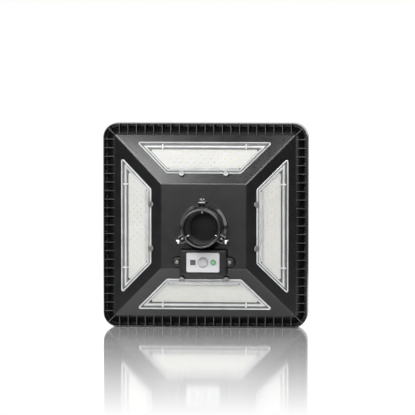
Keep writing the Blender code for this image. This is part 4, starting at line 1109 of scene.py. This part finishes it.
# %% Sensor dome
DOME_R = 9.6 * MM
lift = np.radians(np.linspace(0, 84, 8))
facets = [(DOME_R * math.cos(a), BOX_FRONT - 0.2 * MM + 7.2 * MM * math.sin(a)) for a in lift]
dome = skin(turned([(DOME_R, 43.6 * MM)] + facets, 18))
shoulder = skin(turned([
    (11 * MM, 43 * MM), (11 * MM, 45 * MM), (DOME_R, 45 * MM), (DOME_R, BOX_FRONT + 0.5 * MM),
    (DOME_R - 0.8 * MM, BOX_FRONT + 0.8 * MM)], 72))
make("sensor_dome", [moved(part, (0, BOX_Y, 0)) for part in (dome, shoulder)], DOME,
     replaces=["motion_lens"], angle=6)

# %% [markdown]
# The green button is a soft round cap on a flange that keeps it in the box. A white ring
# with a stroke through its gap stands for on and off; both are raised a little from the
# cap, so that the mark is geometry too. The cap rides on the body that the button moves.

# %% Button
BUTTON_X = 19 * MM
cap = [(6.2 * MM, -4.3 * MM), (6.2 * MM, -2.8 * MM), (5 * MM, -2.8 * MM)]
cap += bend((5 * MM, 1.0 * MM), (5 * MM, 2.2 * MM), (3.8 * MM, 2.2 * MM), 6)
cap += [(0.4 * MM, 2.05 * MM)]
button = skin(turned([(1.5 * MM, -5.7 * MM), (1.5 * MM, -4.3 * MM)] + cap, 64))
to_button = (BUTTON_X, BOX_Y, BOX_FRONT)
sweep_angles = np.radians(np.linspace(125, 415, 30))
corners = np.array([(1.75, 2.0), (2.35, 2.0), (2.35, 2.3), (1.75, 2.3)]) * MM
arc = skin(np.stack([
    np.cos(sweep_angles)[:, None] * corners[:, 0], np.sin(sweep_angles)[:, None] * corners[:, 0],
    np.repeat(corners[None, :, 1], 30, axis=0)], axis=-1))
stroke = skin(stack(
    box_corners(-0.3 * MM, 0.3 * MM, 0.3 * MM, 2.6 * MM), 0.2 * MM,
    [(0, 2.0 * MM), (0, 2.3 * MM)], steps=2))
make("button_cap",
     [moved(part, to_button) for part in (button, arc, stroke)],
     [GREEN, MARK_WHITE, MARK_WHITE], body="button", replaces=["power_button"])

# %% [markdown]
# ## Solar side
#
# The back is a moulded frame round a sheet of toughened glass. Behind the glass lie 36 thin
# dark cells in four columns, joined by flat tinned ribbons that run down each column and by
# a wider one across each end. Cells and ribbons are thin solid tiles under the glass.

# %% Frame and glass
BACK = -44 * MM
JOINT = -36.3 * MM
OPENING = 177 * MM
GLASS_HALF = 183 * MM
frame_rings = square_rings([
    (HALF - 0.6 * MM, RIM_R - 0.6 * MM, JOINT), (HALF, RIM_R, JOINT - 0.6 * MM)]
    + [(half, RIM_R - (HALF - half), height) for half, height in bend(
        (HALF, BACK + 1.6 * MM), (HALF, BACK), (HALF - 1.6 * MM, BACK))]
    + [(OPENING + 0.7 * MM, 12.7 * MM, BACK), (OPENING, 12 * MM, BACK + 0.7 * MM),
       (OPENING, 12 * MM, BACK + 2 * MM), (183.5 * MM, 20.5 * MM, BACK + 2 * MM),
       (183.5 * MM, 20.5 * MM, JOINT)])
make("solar_frame", [skin(frame_rings, loop=True)], FRAME_BLACK, replaces=["panel_frame"])
GLASS_LOW = -41.7 * MM
glass = skin(square_rings([
    (GLASS_HALF - 0.5 * MM, 19.5 * MM, GLASS_LOW), (GLASS_HALF, 20 * MM, GLASS_LOW + 0.5 * MM),
    (GLASS_HALF, 20 * MM, -39 * MM), (GLASS_HALF - 0.5 * MM, 19.5 * MM, -38.5 * MM)]))
make("front_glass", [glass], GLASS, replaces=["solar_glass"])

# %% [markdown]
# A cell is one thin tile with clipped corners, repeated as an array of four columns by
# nine rows. Its fine silver fingers are a wave texture, since they are far too thin to
# model, while the wider ribbons over them are real strips.

# %% Cells
CELL_PITCH_X = 80.6 * MM
CELL_PITCH_Y = 33.4 * MM
CELL_HALF_X = 36.5 * MM
CELL_HALF_Y = 16.1 * MM
COLUMNS = 4
ROWS = 9
CELL_Z = -38.2 * MM
backing = skin(square_rings([(177 * MM, 8 * MM, -37.8 * MM), (177 * MM, 8 * MM, -37.2 * MM)]))
tile = skin(box_rings(
    CELL_HALF_X, CELL_HALF_Y, 2.5 * MM,
    [(0.05 * MM, CELL_Z), (0, CELL_Z + 0.05 * MM), (0, -37.7 * MM)], steps=1))
column_x = (np.arange(COLUMNS) - (COLUMNS - 1) / 2) * CELL_PITCH_X
row_y = (np.arange(ROWS) - (ROWS - 1) / 2) * CELL_PITCH_Y
grid_x, grid_y = np.meshgrid(column_x, row_y)
cell_places = np.column_stack([grid_x.ravel(), grid_y.ravel(), np.zeros(grid_x.size)])
print(grid_x.size, "cells")

# %% Silicon with fine silver fingers
FINGER_PITCH = 1.8 * MM
WAVE_STEP = 20
CELLS = finish("silicon_cell", (0.010, 0.012, 0.018), 0.25, grain=4, depth=0.004, shade=0.35)
tree = CELLS.node_tree
fingers = add_node(tree, "TexWave", Scale=2 * math.pi / (WAVE_STEP * FINGER_PITCH))
fingers.bands_direction = "Z"
place = next(node for node in tree.nodes if node.type == "TEX_COORD")
thin = add_node(tree, "MapRange", From_Min=0.9)
mix = add_node(tree, "Mix")
mix.data_type = "RGBA"
set_inputs(mix, B=(0.07, 0.075, 0.08, 1))
shader = tree.nodes["Principled BSDF"]
silicon = shader.inputs["Base Color"].links[0].from_socket
wire(place, "Object", fingers, "Vector")
wire(fingers, "Fac", thin, "Value")
wire(thin, "Result", mix, "Factor")
tree.links.new(silicon, mix.inputs["A"])
wire(mix, "Result", shader, "Base Color")
make("solar_cells", [backing, many(tile, cell_places)], [BACKING, CELLS],
     replaces=["cell_laminate"])

# %% Ribbons
RIBBON_X = np.array([8, 26, 44, 63]) * MM - 36 * MM
RIBBON_Z = CELL_Z - 0.12 * MM
RIBBON_HALF = 0.7 * MM
BUS_HALF = 1.2 * MM
reach = ROWS * CELL_PITCH_Y / 2 + 4 * MM
ribbon = skin(box_rings(
    RIBBON_HALF, reach, 0.3 * MM, [(0, RIBBON_Z), (0, CELL_Z + 0.3 * MM)], steps=1))
ribbon_x = (column_x[:, None] + RIBBON_X[None]).ravel()
ribbons = many(ribbon, np.column_stack([ribbon_x, np.zeros((len(ribbon_x), 2))]))
bus = skin(box_rings(
    CELL_HALF_X, BUS_HALF, 0.3 * MM, [(0, RIBBON_Z - 0.05 * MM), (0, CELL_Z + 0.3 * MM)],
    steps=1))
bus_places = [(x, y, 0) for x in column_x for y in (-reach, reach)]
make("cell_ribbons", [ribbons, many(bus, bus_places)], RIBBON)

# %% [markdown]
# ## Parts inside
#
# The battery, the controller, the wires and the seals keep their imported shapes, because
# nobody sees them until the lamp is opened. They still get real finishes of their own.

# %% Finishes for the carried parts
def carried(name, material):
    """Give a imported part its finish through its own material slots."""
    for material_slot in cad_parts[name].material_slots:
        material_slot.material = material


WIRE_WHITE = finish("wire_white", (0.7, 0.7, 0.68), 0.45, grain=0.6, depth=0.02)
INSIDE = {
    "sensor_faceplate": SILVER, "housing_seal": RUBBER, "sensor_seal": RUBBER,
    "sensor_board": CIRCUIT, "charge_controller": CIRCUIT, "motion_detector": STEEL,
    "button_switch": TRAY_BLACK, "battery_tray": TRAY_BLACK, "battery_strap": STEEL,
    "panel_lead": WIRE, "battery_lead": WIRE, "sensor_lead": WIRE_WHITE}
INSIDE.update({"battery_cell_%d" % number: WRAP for number in range(1, 5)})
INSIDE.update({"socket_screw_%d" % number: STEEL for number in range(1, 4)})
INSIDE.update({"led_lead_" + side: WIRE_WHITE for side in SIDES})
for name, material in INSIDE.items():
    carried(name, material)
print(len(INSIDE), "carried parts finished")
